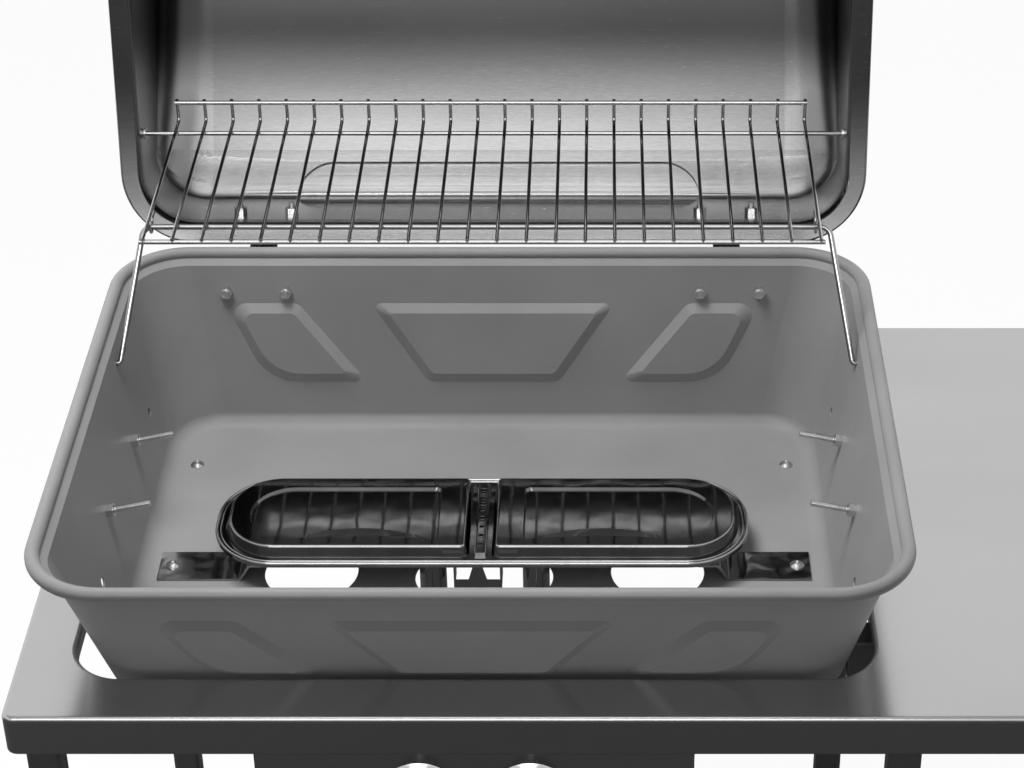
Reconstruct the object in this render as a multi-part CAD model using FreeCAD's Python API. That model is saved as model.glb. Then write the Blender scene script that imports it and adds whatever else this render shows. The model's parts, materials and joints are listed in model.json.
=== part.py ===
"""Gas grill with an open lid, a swinging warming rack and a stainless deck on a tube cart.

Millimetres, +X right, +Y back, +Z up. The grill is drawn round the middle of the firebox's rim,
with the rim's top at height zero, and each piece is then moved so that the origin lies on the
floor, midway along the deck and midway between the knobs and the back of the open lid.
"""
import FreeCAD
import Part
import math
import os

Vec = FreeCAD.Vector
X_AXIS = Vec(1, 0, 0)
Y_AXIS = Vec(0, 1, 0)
Z_AXIS = Vec(0, 0, 1)

# Firebox
rim_width = 650.0
rim_depth = 490.0
rim_corner = 62.0
rim_height = 910.0
bead = 11.0
ledge_run = 5.0
ledge_drop = 4.6
firebox_sheet = 1.5
firebox_depth = 150.0
side_draft = 12.0
end_draft = 17.0
floor_fillet = 14.0
floor_corner = 44.0
press_depth = 3.6
press_bevel = 9.0
press_top = 33.0
press_low = 106.0
press_sharp = 5.0
press_round = 12.0
press_outer = 45.0

# Openings in the firebox
air_hole_r = 38.0
air_hole_x = 141.0
air_hole_y = -26.0
burner_slot_half_x = 56.0
burner_slot_front = -63.0
burner_slot_back = -3.0
burner_slot_corner = 29.5
side_hole_r = 4.0
side_hole_front = -109.0
side_hole_back = 126.0
side_hole_z = -96.0

# Deck
deck_left = -344.5
deck_right = 541.0
deck_front = -252.5
deck_back = 285.5
deck_z = -110.0
deck_sheet = 1.2
deck_lip = 35.0
deck_hem = 5.0
deck_bend = 3.0
deck_corner = 9.0
cutout_half_x = 302.0
cutout_half_y = 205.5
cutout_corner = 38.0
cutout_flange = 12.0

# Lid and its hinge
lid_overhang = 4.0
lid_gap = 1.0
lid_sheet = 1.2
lid_flange = 19.0
lid_hem = 5.0
lid_bend = 4.0
lid_corner = 45.0
lid_back_height = 108.0
lid_front_height = 178.0
lid_top_height = 232.0
lid_top_y = -120.0
lid_front_roll = 90.0
lid_top_roll = 110.0
lid_back_roll = 50.0
lid_open = 102.0
crescent_half_x = 186.0
crescent_half_z = 35.0
crescent_depth = 4.0
crescent_lean = 45.0
crescent_ahead = 46.4
crescent_below = 63.6
crescent_slab = 80.0
hinge_back = 12.0
hinge_drop = 24.0
hinge_x = 206.7
knuckle_r = 5.0
hinge_pin_r = 2.5
hinge_strap_width = 24.0
hinge_leaf_width = 66.0
hinge_leaf_sheet = 2.0
lower_bolt_spacing = 51.8
upper_bolt_spacing = 46.0
lower_bolt_z = -34.5
upper_bolt_z = 33.0

# Lid handle
handle_r = 11.0
handle_half = 210.0
handle_post_x = 150.0
handle_post_r = 8.0
handle_reach = 46.0
handle_z = 84.0

# Warming rack and its linkage
rack_wires = 24
rack_x = -2.5
rack_pitch = 24.15
rack_wire_r = 1.5
cross_wire_r = 2.0
rack_z = 73.0
rack_front = 129.5
rack_back = 337.6
rack_upturn = 21.0
rod_r = 2.0
rod_ahead = 17.0
bail_r = 2.4
bail_behind = 27.0
bail_half_top = 284.0
bail_half_low = 303.0
bail_bend_top = 9.0
bail_bend_low = 3.3
hook_wire_r = 1.25
hook_room = 0.75
push_nut_r = 5.0
push_nut_wide = 2.5

# Burner
burner_half_x = 218.0
burner_half_y = 59.0
burner_x = -2.5
burner_y = 8.0
burner_rim_z = -124.0
burner_rim = 8.5
burner_rise = 10.0
burner_corner = 52.0
burner_sheet = 1.2
burner_lean = 3.5
burner_edge_fillet = 3.0
burner_valley = 17.0
dish_inner = 34.0
dish_outer = 190.0
dish_front = -30.0
dish_back = 41.0
dish_corner = 5.0
dish_deep = 2.2
dish_edge = 1.6
dish_slope = 16.0
pan_depth = 9.0
port_strip_half = 4.2
port_size = 3.0
port_count = 7
venturi_x = 42.0
venturi_y = -25.5
venturi_r = 11.0
venturi_sheet = 1.0
venturi_bend = 32.0
gas_z = -200.0
venturi_mouth_y = -172.0
collector_x = -5.0
bracket_width = 36.0
bracket_y = -20.5
bracket_sheet = 2.0

# Fasteners
screw_x = 255.0
screw_back_y = 124.0
screw_r = 2.5
screw_head_r = 5.8
side_bolt_r = 2.4
side_bolt_front = (-47.0, -73.0)
side_bolt_back = (61.0, -81.0)
side_bolt_reach = 36.0
nut_across = 10.0
nut_high = 5.0

# Gas controls
panel_half = 165.0
panel_low = -254.0
panel_y = -234.0
panel_sheet = 1.2
panel_return = 22.0
knob_r = 22.0
knob_deep = 24.0
knob_travel = 3.0
stem_r = 4.0
plug_r = 6.0
plug_long = 13.0
bezel_deep = 3.0
manifold_r = 8.0
manifold_y = -204.0
valve_half = 13.0
inlet_r = 7.9
inlet_long = 14.0
inlet_body = 20.0
inlet_x = 80.0
button_x = -112.0
button_r = 8.0
button_travel = 6.0

# Cart
tube = 25.0
tube_wall = 1.5
tube_corner = 4.0
leg_x = 323.0
leg_front_y = -222.0
leg_back_y = 252.0
leg_bend = 30.0
shelf_z = -760.0
shelf_lip = 26.0
wheel_r = 75.0
wheel_wide = 32.0
tyre_deep = 14.0
axle_r = 5.0
foot_high = 22.0
wing_beam_y = -121.0
wing_beam_back_y = 190.0
wing_beam_high = 38.0
wing_beam_start = 288.0
support_front = -44.0
support_back = 146.0

# Fits
running = 0.08
clear = 0.2
loose = 0.3
touch = 0.05

pieces = {}


def circle_face(radius, hole=0.0):
    outer = Part.Face(Part.Wire(Part.makeCircle(radius)))
    if hole:
        return outer.cut(Part.Face(Part.Wire(Part.makeCircle(hole))))
    return outer


def rounded(points, radii, closed=True):
    """Wire through 2-D or 3-D points, with an arc of the given radius at each corner."""
    pts = [Vec(*p) for p in points]
    n = len(pts)
    starts, ends, arcs = [], [], []
    for i, p in enumerate(pts):
        r = radii[i] if isinstance(radii, (list, tuple)) else radii
        end_point = not closed and i in (0, n - 1)
        if r <= 0 or end_point:
            starts.append(p)
            ends.append(p)
            arcs.append(None)
            continue
        a = (pts[i - 1] - p).normalize()
        b = (pts[(i + 1) % n] - p).normalize()
        half = a.getAngle(b) / 2
        reach = r / math.tan(half)
        middle = p + (a + b).normalize() * (r / math.sin(half) - r)
        starts.append(p + a * reach)
        ends.append(p + b * reach)
        arcs.append(Part.Arc(starts[-1], middle, ends[-1]).toShape())
    edges = []
    for i in range(n):
        if arcs[i]:
            edges.append(arcs[i])
        if i < n - 1 or closed:
            nxt = starts[(i + 1) % n]
            if ends[i].distanceToPoint(nxt) > 1e-6:
                edges.append(Part.makeLine(ends[i], nxt))
    return Part.Wire(edges)


def rect_points(half_x, half_y, z=0.0, x=0.0, y=0.0):
    return [(x + half_x, y + half_y, z), (x - half_x, y + half_y, z),
            (x - half_x, y - half_y, z), (x + half_x, y - half_y, z)]


def rect_wire(half_x, half_y, radius, z=0.0, x=0.0, y=0.0):
    return rounded(rect_points(half_x, half_y, z, x, y), radius)


def plate(half_x, half_y, radius, low, high, x=0.0, y=0.0):
    return Part.Face(rect_wire(half_x, half_y, radius, low, x, y)).extrude(Vec(0, 0, high - low))


def loft(*wires):
    return Part.makeLoft(list(wires), True, True)


def cylinder(radius, start, end):
    start, end = Vec(*start), Vec(*end)
    return Part.makeCylinder(radius, (end - start).Length, start, end - start)


def hexagon(across, start, end):
    start, end = Vec(*start), Vec(*end)
    along = end - start
    reach = across / math.sqrt(3)
    angles = [math.radians(60 * i) for i in range(7)]
    corners = [Vec(reach * math.cos(a), reach * math.sin(a), 0) for a in angles]
    prism = Part.Face(Part.makePolygon(corners)).extrude(Vec(0, 0, along.Length))
    prism.Placement = FreeCAD.Placement(start, FreeCAD.Rotation(Z_AXIS, along))
    return prism


def box(low, high):
    return Part.makeBox(high[0] - low[0], high[1] - low[1], high[2] - low[2], Vec(*low))


def join(shapes):
    shapes = [s for s in shapes]
    whole = shapes[0].multiFuse(shapes[1:]) if len(shapes) > 1 else shapes[0]
    return whole.removeSplitter()


def group(shapes):
    return Part.makeCompound(shapes)


def both(shape):
    """The shape and its mirror image across the middle plane."""
    return [shape, shape.mirror(Vec(0, 0, 0), X_AXIS)]


def set_section(face, point, side, up):
    placed = face.copy()
    turn = FreeCAD.Rotation(side, up, side.cross(up), "XYZ")
    placed.Placement = FreeCAD.Placement(point, turn)
    return placed


def sweep(face, points, radii, normal, closed=False):
    """Carries a flat section along a bent path that lies in one plane.

    The section's first axis points to the right of the path as seen from the normal's tip,
    and its second axis points along the normal.
    """
    pts = [Vec(*p) for p in points]
    n = len(pts)
    normal = Vec(*normal)
    starts, ends, turns = list(pts), list(pts), {}
    for i, p in enumerate(pts):
        if not closed and i in (0, n - 1):
            continue
        r = radii[i] if isinstance(radii, (list, tuple)) else radii
        into = (p - pts[i - 1]).normalize()
        out = (pts[(i + 1) % n] - p).normalize()
        angle = into.getAngle(out)
        sign = 1 if normal.dot(into.cross(out)) > 0 else -1
        reach = r * math.tan(angle / 2)
        starts[i] = p - into * reach
        ends[i] = p + out * reach
        turns[i] = (into, starts[i] + normal.cross(into) * r * sign, normal * sign, math.degrees(angle))
    solids = []
    for i in range(n if closed else n - 1):
        a, b = ends[i], starts[(i + 1) % n]
        if a.distanceToPoint(b) > 1e-6:
            along = b - a
            solids.append(set_section(face, a, Vec(along).normalize().cross(normal), normal).extrude(along))
    for i, (into, centre, axis, angle) in turns.items():
        solids.append(set_section(face, starts[i], into.cross(normal), normal).revolve(centre, axis, angle))
    return join(solids)


def strip(points, radii, thickness, closed=False):
    """Section of a bent sheet: a line with bends, given half the thickness on each side."""
    pts = [Vec(p[0], p[1], 0) for p in points]
    n = len(pts)
    half = thickness / 2

    def side(sign):
        out, rads = [], []
        for i, p in enumerate(pts):
            into = (p - pts[i - 1]).normalize() if i else None
            leave = (pts[i + 1] - p).normalize() if i < n - 1 else None
            if into is None or leave is None:
                d = leave if into is None else into
                out.append(p + Vec(-d.y, d.x, 0) * half * sign)
                rads.append(0)
                continue
            n1, n2 = Vec(-into.y, into.x, 0), Vec(-leave.y, leave.x, 0)
            m = (n1 + n2).normalize()
            out.append(p + m * (half * sign / m.dot(n1)))
            turn = 1 if into.cross(leave).z > 0 else -1
            r = radii[i] if isinstance(radii, (list, tuple)) else radii
            rads.append(max(r - turn * sign * half, 0))
        return out, rads

    left, left_r = side(1)
    right, right_r = side(-1)
    loop = left + right[::-1]
    return Part.Face(rounded([tuple(p) for p in loop], left_r + right_r[::-1]))


def bar(points, radii, normal, radius, hole=0.0):
    return sweep(circle_face(radius, hole), points, radii, normal)


def turned(shape, pivot, degrees):
    """Turns a shape about a left-to-right axis; a positive angle tips its top forwards."""
    moved = shape.copy()
    moved.rotate(Vec(0, pivot[0], pivot[1]), X_AXIS, degrees)
    return moved


def fillet(shape, radius, pick):
    edges = [e for e in shape.Edges if pick(e)]
    return shape.makeFillet(radius, edges)


def tan(degrees):
    return math.tan(math.radians(degrees))


# Sizes worked out from the ones above
bead_r = bead / 2
wall_top = -bead_r - 1.9 - ledge_drop
wall_half_x = rim_width / 2 - bead - ledge_run
wall_half_y = rim_depth / 2 - bead - ledge_run
wall_corner = rim_corner - bead - ledge_run
wall_drop = firebox_depth + wall_top
floor_half_x = wall_half_x - wall_drop * tan(side_draft)
floor_half_y = wall_half_y - wall_drop * tan(end_draft)
floor_z = -firebox_depth


def side_wall_x(z):
    """Inner face of the firebox's side wall at a height."""
    return wall_half_x - (wall_top - z) * tan(side_draft)


def end_wall_y(z):
    return wall_half_y - (wall_top - z) * tan(end_draft)


hinge = (rim_depth / 2 + hinge_back, -hinge_drop)
rod = (rack_back - rod_ahead, rack_z - rack_wire_r - rod_r)
bail_top = (rack_front + bail_behind, rack_z - rack_wire_r - bail_r - 0.5)
bail_low = (hinge[0] - rod[0] + bail_top[0], hinge[1] - rod[1] + bail_top[1])
lid_half_x = rim_width / 2 + lid_overhang
lid_half_y = rim_depth / 2 + lid_overhang
mouth_half_x = lid_half_x - lid_flange
mouth_half_y = lid_half_y - lid_flange
lid_foot = lid_gap + lid_bend + lid_sheet
floor_level = -rim_height
rail_top = deck_z - deck_sheet - touch
rail_low = rail_top - tube
pan_low = burner_rim_z - burner_sheet - pan_depth
knob_back = panel_y - touch - bezel_deep - knob_travel - loose
barrel_front = panel_y + panel_sheet + touch
plug_back = manifold_y - 14.0 - loose


def rolled_section():
    """Ledge and rolled bead, drawn outwards from the top of the inner wall."""
    centre = Vec(ledge_run + bead_r, -bead_r, 0)
    inner_r = bead_r - firebox_sheet

    def at(radius, degrees):
        angle = math.radians(degrees)
        return centre + Vec(radius * math.cos(angle), radius * math.sin(angle), 0)

    start, finish = 200, -110
    foot = Vec(0, wall_top, 0)
    ledge = (at(bead_r, start) - foot).normalize()
    under = Vec(ledge.y, -ledge.x, 0) * firebox_sheet
    edges = [
        Part.makeLine(foot, at(bead_r, start)),
        Part.Arc(at(bead_r, start), at(bead_r, 45), at(bead_r, finish)).toShape(),
        Part.makeLine(at(bead_r, finish), at(inner_r, finish)),
        Part.Arc(at(inner_r, finish), at(inner_r, 45), at(inner_r, start)).toShape(),
        Part.makeLine(at(inner_r, start), at(bead_r, start) + under),
        Part.makeLine(at(bead_r, start) + under, foot + under),
        Part.makeLine(foot + under, foot),
    ]
    return Part.Face(Part.Wire(edges))


def pressed_panel(outline, corners, face_y, face_z, lean, outwards):
    """Bevelled pad for a pressed panel, set on the rear wall (lean 1) or the front wall (lean -1).

    The outline is in the wall's own plane: X along the wall and the distance down its slope.
    """
    n = len(outline)
    mid = Vec(sum(p[0] for p in outline) / n, sum(p[1] for p in outline) / n, 0)
    base = rounded([(p[0], -p[1], -loose) for p in outline], corners)
    inset = []
    for i, p in enumerate(outline):
        here = Vec(p[0], p[1], 0)
        a = (here - Vec(*outline[i - 1], 0)).normalize()
        b = (Vec(*outline[(i + 1) % n], 0) - here).normalize()
        na, nb = Vec(-a.y, a.x, 0), Vec(-b.y, b.x, 0)
        if na.dot(mid - here) < 0:
            na, nb = na * -1, nb * -1
        m = (na + nb).normalize()
        q = here + m * (press_bevel / m.dot(na))
        inset.append((q.x, -q.y, press_depth))
    top = rounded(inset, [max(c - press_bevel / 2, 2) for c in corners])
    pad = loft(base, top)
    draft = math.radians(end_draft)
    slope_up = Vec(0, math.sin(draft) * lean, math.cos(draft))
    out = Vec(0, -lean, 0) if not outwards else Vec(0, lean, 0)
    normal = X_AXIS.cross(slope_up)
    if normal.dot(out) < 0:
        pad = pad.mirror(Vec(0, 0, 0), Z_AXIS)
    turn = FreeCAD.Rotation(X_AXIS, slope_up, normal, "XYZ")
    pad.Placement = FreeCAD.Placement(Vec(0, face_y, face_z), turn)
    return pad


def make_firebox():
    sheet = firebox_sheet
    cavity = loft(rect_wire(wall_half_x, wall_half_y, wall_corner, wall_top),
                  rect_wire(floor_half_x, floor_half_y, floor_corner, floor_z))
    under_half_x = floor_half_x + sheet - sheet * tan(side_draft)
    under_half_y = floor_half_y + sheet - sheet * tan(end_draft)
    outer = loft(rect_wire(wall_half_x + sheet, wall_half_y + sheet, wall_corner + sheet, wall_top),
                 rect_wire(under_half_x, under_half_y, floor_corner + sheet, floor_z - sheet))
    cavity = fillet(cavity, floor_fillet, lambda e: abs(e.BoundBox.ZMax - floor_z) < 0.01)
    outer = fillet(outer, floor_fillet + sheet, lambda e: abs(e.BoundBox.ZMax - floor_z + sheet) < 0.01)
    top, low = press_top, press_low
    centre = [(-108, top), (108, top), (58, low), (-58, low)]
    right = [(170, top), (235, top), (200, low), (110, low)]
    left = [(-x, d) for x, d in right]
    side_corners = [press_round, press_round, press_outer, press_sharp]
    centre_corners = [press_sharp, press_sharp, press_round, press_round]
    panels = [(centre, centre_corners), (right, side_corners), (left, side_corners)]
    for outline, corners in panels:
        cavity = cavity.cut(pressed_panel(outline, corners, wall_half_y, wall_top, 1, False))
        outer = outer.cut(pressed_panel(outline, corners, wall_half_y + sheet, wall_top, 1, False))
        cavity = cavity.fuse(pressed_panel(outline, corners, -wall_half_y, wall_top, -1, True))
        outer = outer.fuse(pressed_panel(outline, corners, -wall_half_y - sheet, wall_top, -1, True))
    shell = outer.cut(cavity)
    rim_path = rect_points(wall_half_x, wall_half_y)
    rim = sweep(rolled_section(), rim_path, wall_corner, Z_AXIS, closed=True)
    shell = shell.fuse(rim)
    holes = []
    deep = 12.0
    for x in (-air_hole_x, air_hole_x):
        holes.append(cylinder(air_hole_r, (x, air_hole_y, floor_z - deep), (x, air_hole_y, floor_z + deep)))
    slot_mid = (burner_slot_front + burner_slot_back) / 2
    slot_half = (burner_slot_back - burner_slot_front) / 2
    low, high = floor_z - deep, floor_z + deep
    holes.append(plate(burner_slot_half_x, slot_half, burner_slot_corner, low, high, 0, slot_mid))
    for sign in (-1, 1):
        for y in (screw_back_y, bracket_y):
            x = sign * screw_x
            holes.append(cylinder(screw_r + clear, (x, y, low), (x, y, high)))
        for y in (side_hole_front, side_hole_back):
            near = sign * (side_wall_x(side_hole_z) - deep)
            far = sign * (side_wall_x(side_hole_z) + deep)
            holes.append(cylinder(side_hole_r, (near, y, side_hole_z), (far, y, side_hole_z)))
        x = side_wall_x(bail_low[1])
        holes.append(cylinder(bail_r + loose, (sign * (x - 3), *bail_low), (sign * (x + 4), *bail_low)))
    holes += side_bolt_places(lambda start, end: cylinder(side_bolt_r + clear, start, end), -8, 8)
    holes += lower_bolt_places(lambda start, end: cylinder(screw_r + clear, start, end), -6, 6)
    return shell.cut(Part.makeCompound(holes)).removeSplitter()


def side_bolt_places(make, near, far):
    """Repeats a piece at the four side bolts; distances run inwards, square to the wall."""
    lean = math.radians(side_draft)
    made = []
    for sign in (-1, 1):
        for y, z in (side_bolt_front, side_bolt_back):
            foot = Vec(sign * side_wall_x(z), y, z)
            inwards = Vec(-sign * math.cos(lean), 0, math.sin(lean))
            made.append(make(tuple(foot + inwards * near), tuple(foot + inwards * far)))
    return made


def lower_bolt_places(make, near, far):
    """Repeats a piece at the four rear-wall bolts; distances run into the firebox."""
    lean = math.radians(end_draft)
    made = []
    for sign in (-1, 1):
        for side in (-1, 1):
            x = sign * hinge_x + side * lower_bolt_spacing / 2
            foot = Vec(x, end_wall_y(lower_bolt_z), lower_bolt_z)
            inwards = Vec(0, -math.cos(lean), math.sin(lean))
            made.append(make(tuple(foot + inwards * near), tuple(foot + inwards * far)))
    return made


def upper_bolt_places(make, near, far):
    """Repeats a piece at the four lid bolts, lid closed; distances run into the lid."""
    made = []
    for sign in (-1, 1):
        for side in (-1, 1):
            x = sign * hinge_x + side * upper_bolt_spacing / 2
            made.append(make((x, mouth_half_y - near, upper_bolt_z), (x, mouth_half_y - far, upper_bolt_z)))
    return made


def make_deck():
    sheet = deck_sheet
    mid_x, mid_y = (deck_left + deck_right) / 2, (deck_front + deck_back) / 2
    half_x, half_y = (deck_right - deck_left) / 2, (deck_back - deck_front) / 2
    inset = deck_bend + sheet
    edge = strip([(-inset - 0.5, -sheet / 2), (-sheet / 2, -sheet / 2), (-sheet / 2, -deck_lip + sheet / 2),
                  (-deck_hem, -deck_lip + sheet / 2)], [0, deck_bend, 1.0, 0], sheet)
    lip = sweep(edge, rect_points(half_x, half_y, deck_z, mid_x, mid_y), deck_corner, Z_AXIS, closed=True)
    top = plate(half_x - inset, half_y - inset, deck_corner - inset, deck_z - sheet, deck_z, mid_x, mid_y)
    hole = plate(cutout_half_x + inset, cutout_half_y + inset, cutout_corner + inset, deck_z - 5, deck_z + 5)
    bend = strip([(inset + 0.5, -sheet / 2), (sheet / 2, -sheet / 2), (sheet / 2, -cutout_flange)],
                 [0, deck_bend, 0], sheet)
    collar_path = rect_points(cutout_half_x, cutout_half_y, deck_z)
    collar = sweep(bend, collar_path, cutout_corner, Z_AXIS, closed=True)
    return join([top.cut(hole), lip, collar])


def lid_profile(grow):
    """Outline of the lid's section, rear to front, grown outwards by a distance."""
    line = [(mouth_half_y, lid_foot), (mouth_half_y, lid_back_height), (lid_top_y, lid_top_height),
            (-mouth_half_y, lid_front_height), (-mouth_half_y, lid_foot)]
    rolls = [0, lid_back_roll, lid_top_roll, lid_front_roll, 0]
    pts = [Vec(0, y, z) for y, z in line]
    grown = []
    for i, p in enumerate(pts):
        into = (p - pts[i - 1]).normalize() if i else (pts[1] - p).normalize()
        leave = (pts[i + 1] - p).normalize() if i < len(pts) - 1 else into
        n1, n2 = Vec(0, into.z, -into.y), Vec(0, leave.z, -leave.y)
        m = (n1 + n2).normalize()
        grown.append(tuple(p + m * (grow / m.dot(n1))))
    wire = rounded(grown, [r + grow if r else 0 for r in rolls])
    return Part.Face(wire)


def lid_block(grow):
    half = mouth_half_x + grow
    face = lid_profile(grow)
    face.translate(Vec(-half, 0, 0))
    block = face.extrude(Vec(2 * half, 0, 0))

    def on_side(edge):
        """True for the edges of the two flat side walls, the mouth's own edge left out."""
        b = edge.BoundBox
        flat = b.XLength < 0.01 and abs(abs(b.XMin) - half) < 0.01
        return flat and b.ZMax > lid_foot + 0.5

    return fillet(block, lid_corner + grow, on_side)


def crescent_region(shrink):
    """Rounded slab that marks out the pressed crescent across the lid's rear top corner."""
    half_x, half_z = crescent_half_x - shrink, crescent_half_z - shrink
    slab = Part.Face(rect_wire(half_x, half_z, half_z - 1)).extrude(Vec(0, 0, crescent_slab))
    foot = Vec(0, mouth_half_y - crescent_ahead, lid_back_height - crescent_below)
    slab.Placement = FreeCAD.Placement(foot, FreeCAD.Rotation(X_AXIS, -crescent_lean))
    return slab


def make_lid():
    inner, outer = lid_block(0.0), lid_block(lid_sheet)
    inner_step, outer_step = lid_block(crescent_depth), lid_block(lid_sheet + crescent_depth)
    inner = inner.fuse(inner_step.common(crescent_region(lid_sheet)))
    outer = outer.fuse(outer_step.common(crescent_region(0.0)))
    shell = outer.cut(inner)
    half = lid_sheet / 2
    rim = strip([(half, lid_foot + 0.01), (half, lid_gap + half), (lid_flange - half, lid_gap + half),
                 (lid_flange - half, lid_gap + lid_hem)], [0, lid_bend, 1.6, 0], lid_sheet)
    flange = sweep(rim, rect_points(mouth_half_x, mouth_half_y), lid_corner, Z_AXIS, closed=True)
    shell = shell.fuse(flange)
    rod_shut = turned(Part.Vertex(0, *rod), hinge, lid_open).Point
    holes = []
    for sign in (-1, 1):
        holes.append(cylinder(rod_r + running, (sign * (mouth_half_x - 5), rod_shut.y, rod_shut.z),
                              (sign * (mouth_half_x + 6), rod_shut.y, rod_shut.z)))
        holes.append(cylinder(2.7, (sign * handle_post_x, -mouth_half_y - 5, handle_z),
                              (sign * handle_post_x, -mouth_half_y + 5, handle_z)))
    holes += upper_bolt_places(lambda start, end: cylinder(screw_r + clear, start, end), -6, 6)
    return shell.cut(Part.makeCompound(holes)).removeSplitter()


def make_handle():
    y = -mouth_half_y - lid_sheet - handle_reach
    tube_part = cylinder(handle_r, (-handle_half, y, handle_z), (handle_half, y, handle_z))
    tube_part = fillet(tube_part, 4.0, lambda e: e.BoundBox.XLength < 0.01)
    posts = []
    for sign in (-1, 1):
        x = sign * handle_post_x
        foot = (x, -mouth_half_y - lid_sheet, handle_z)
        post = cylinder(handle_post_r, foot, (x, y, handle_z))
        post = post.fuse(cylinder(handle_post_r + 3, foot, (x, foot[1] - 4, handle_z)))
        post = post.fuse(cylinder(2.5, (x, -mouth_half_y + 3, handle_z), foot))
        post = post.fuse(hexagon(8.0, (x, -mouth_half_y, handle_z), (x, -mouth_half_y + 4, handle_z)))
        grip = cylinder(handle_r, (-handle_half, y, handle_z), (handle_half, y, handle_z))
        posts.append(post.cut(grip).removeSplitter())
    return tube_part, group(posts)


def hinge_lower(sign):
    """Leaf on the firebox: a plate on the rear wall and two arms that end in knuckles."""
    sheet = hinge_leaf_sheet
    lean = math.radians(end_draft)
    bolt_foot = Vec(0, end_wall_y(lower_bolt_z), lower_bolt_z)
    wall = bolt_foot + Vec(0, firebox_sheet, 0)
    slope = Vec(0, math.sin(lean), math.cos(lean))
    out = Vec(0, math.cos(lean), -math.sin(lean))
    arm_z = hinge[1] + knuckle_r - sheet / 2
    mid = wall + out * (sheet / 2 + touch)
    top = mid + slope * ((arm_z - mid.z) / slope.z)
    low = mid - slope * 15
    line = [(low.y, low.z), (top.y, arm_z), (hinge[0], arm_z)]
    face = strip(line, [0, 3.0, 0], sheet)
    x0 = sign * hinge_x - hinge_leaf_width / 2
    leaf = set_section(face, Vec(x0, 0, 0), Y_AXIS, Z_AXIS).extrude(Vec(hinge_leaf_width, 0, 0))
    leaf = leaf.fuse(cylinder(knuckle_r, (x0, *hinge), (x0 + hinge_leaf_width, *hinge)))
    gap = hinge_strap_width / 2 + 0.4
    notch = box((sign * hinge_x - gap, top.y + 6, hinge[1] - knuckle_r - 1),
                (sign * hinge_x + gap, hinge[0] + knuckle_r + 1, hinge[1] + knuckle_r + 1))
    leaf = leaf.cut(notch)
    leaf = leaf.cut(cylinder(hinge_pin_r + running, (x0 - 1, *hinge), (x0 + hinge_leaf_width + 1, *hinge)))
    for side in (-1, 1):
        x = sign * hinge_x + side * lower_bolt_spacing / 2
        middle = bolt_foot + Vec(x, 0, 0)
        leaf = leaf.cut(cylinder(screw_r + clear, tuple(middle - out * 6), tuple(middle + out * 9)))
    return leaf.removeSplitter()


def hinge_upper(sign):
    """Strap on the lid, drawn with the lid closed: a wide plate that narrows to one knuckle."""
    sheet = hinge_leaf_sheet
    strap_y = hinge[0] - knuckle_r + sheet / 2
    wall_y = mouth_half_y + lid_sheet + sheet / 2 + touch
    top_z = upper_bolt_z + 11
    line = [(strap_y, hinge[1]), (strap_y, lid_hem + 2.5), (wall_y, lid_hem + 12), (wall_y, top_z)]
    face = strip(line, [0, 3.0, 3.0, 0], sheet)
    x0 = sign * hinge_x - hinge_leaf_width / 2
    leaf = set_section(face, Vec(x0, 0, 0), Y_AXIS, Z_AXIS).extrude(Vec(hinge_leaf_width, 0, 0))
    half = hinge_strap_width / 2
    for side in (-1, 1):
        a, b = sorted((sign * hinge_x + side * half, sign * hinge_x + side * (hinge_leaf_width / 2 + 1)))
        low, back = hinge[1] - 20, hinge[0] + 20
        leaf = leaf.cut(box((a, wall_y + sheet, low), (b, back, lid_hem + 12)))
        leaf = leaf.cut(box((a, wall_y - 5, low), (b, back, lid_hem + 9)))
    leaf = leaf.fuse(cylinder(knuckle_r, (sign * hinge_x - half, *hinge), (sign * hinge_x + half, *hinge)))
    leaf = leaf.cut(cylinder(hinge_pin_r + running, (x0, *hinge), (x0 + hinge_leaf_width, *hinge)))
    for side in (-1, 1):
        x = sign * hinge_x + side * upper_bolt_spacing / 2
        near, far = (x, wall_y - 5, upper_bolt_z), (x, wall_y + 5, upper_bolt_z)
        leaf = leaf.cut(cylinder(screw_r + clear, near, far))
    return leaf.removeSplitter()


def make_hinge_pins():
    pins = []
    for sign in (-1, 1):
        half = hinge_leaf_width / 2
        x = sign * hinge_x
        pin = cylinder(hinge_pin_r, (x - half - 1.6, *hinge), (x + half + 1.6, *hinge))
        for side in (-1, 1):
            end = x + side * (half + touch)
            pin = pin.fuse(cylinder(hinge_pin_r + 1.5, (end, *hinge), (end + side * 1.6, *hinge)))
        pins.append(pin.removeSplitter())
    return group(pins)


def bolt(start, end, head_across=10.0, head_high=3.5, radius=screw_r):
    """Hexagon-head bolt whose shank runs from under its head to its tip."""
    start, end = Vec(*start), Vec(*end)
    along = (end - start).normalize()
    head = hexagon(head_across, tuple(start - along * head_high), tuple(start))
    return head.fuse(cylinder(radius, tuple(start - along * 0.5), tuple(end))).removeSplitter()


def nut(start, end, bore):
    body = hexagon(nut_across, start, end)
    start, end = Vec(*start), Vec(*end)
    along = (end - start).normalize()
    return body.cut(cylinder(bore + touch, tuple(start - along), tuple(end + along)))


def pan_screw(x, y, seat, reach):
    """Pan-head screw pointing down from its seat, with a cross recess."""
    head_high = 3.2
    dome = screw_head_r * 1.35
    centre_z = seat + head_high - dome
    head = Part.makeSphere(dome, Vec(x, y, centre_z)).common(
        cylinder(screw_head_r, (x, y, seat), (x, y, seat + head_high + 1)))
    shank = cylinder(screw_r, (x, y, seat - reach), (x, y, seat + 0.5))
    top = seat + head_high
    cross = box((x - 2.6, y - 0.6, top - 1.6), (x + 2.6, y + 0.6, top + 1)).fuse(
        box((x - 0.6, y - 2.6, top - 1.6), (x + 0.6, y + 2.6, top + 1)))
    return head.fuse(shank).cut(cross).removeSplitter()


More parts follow.
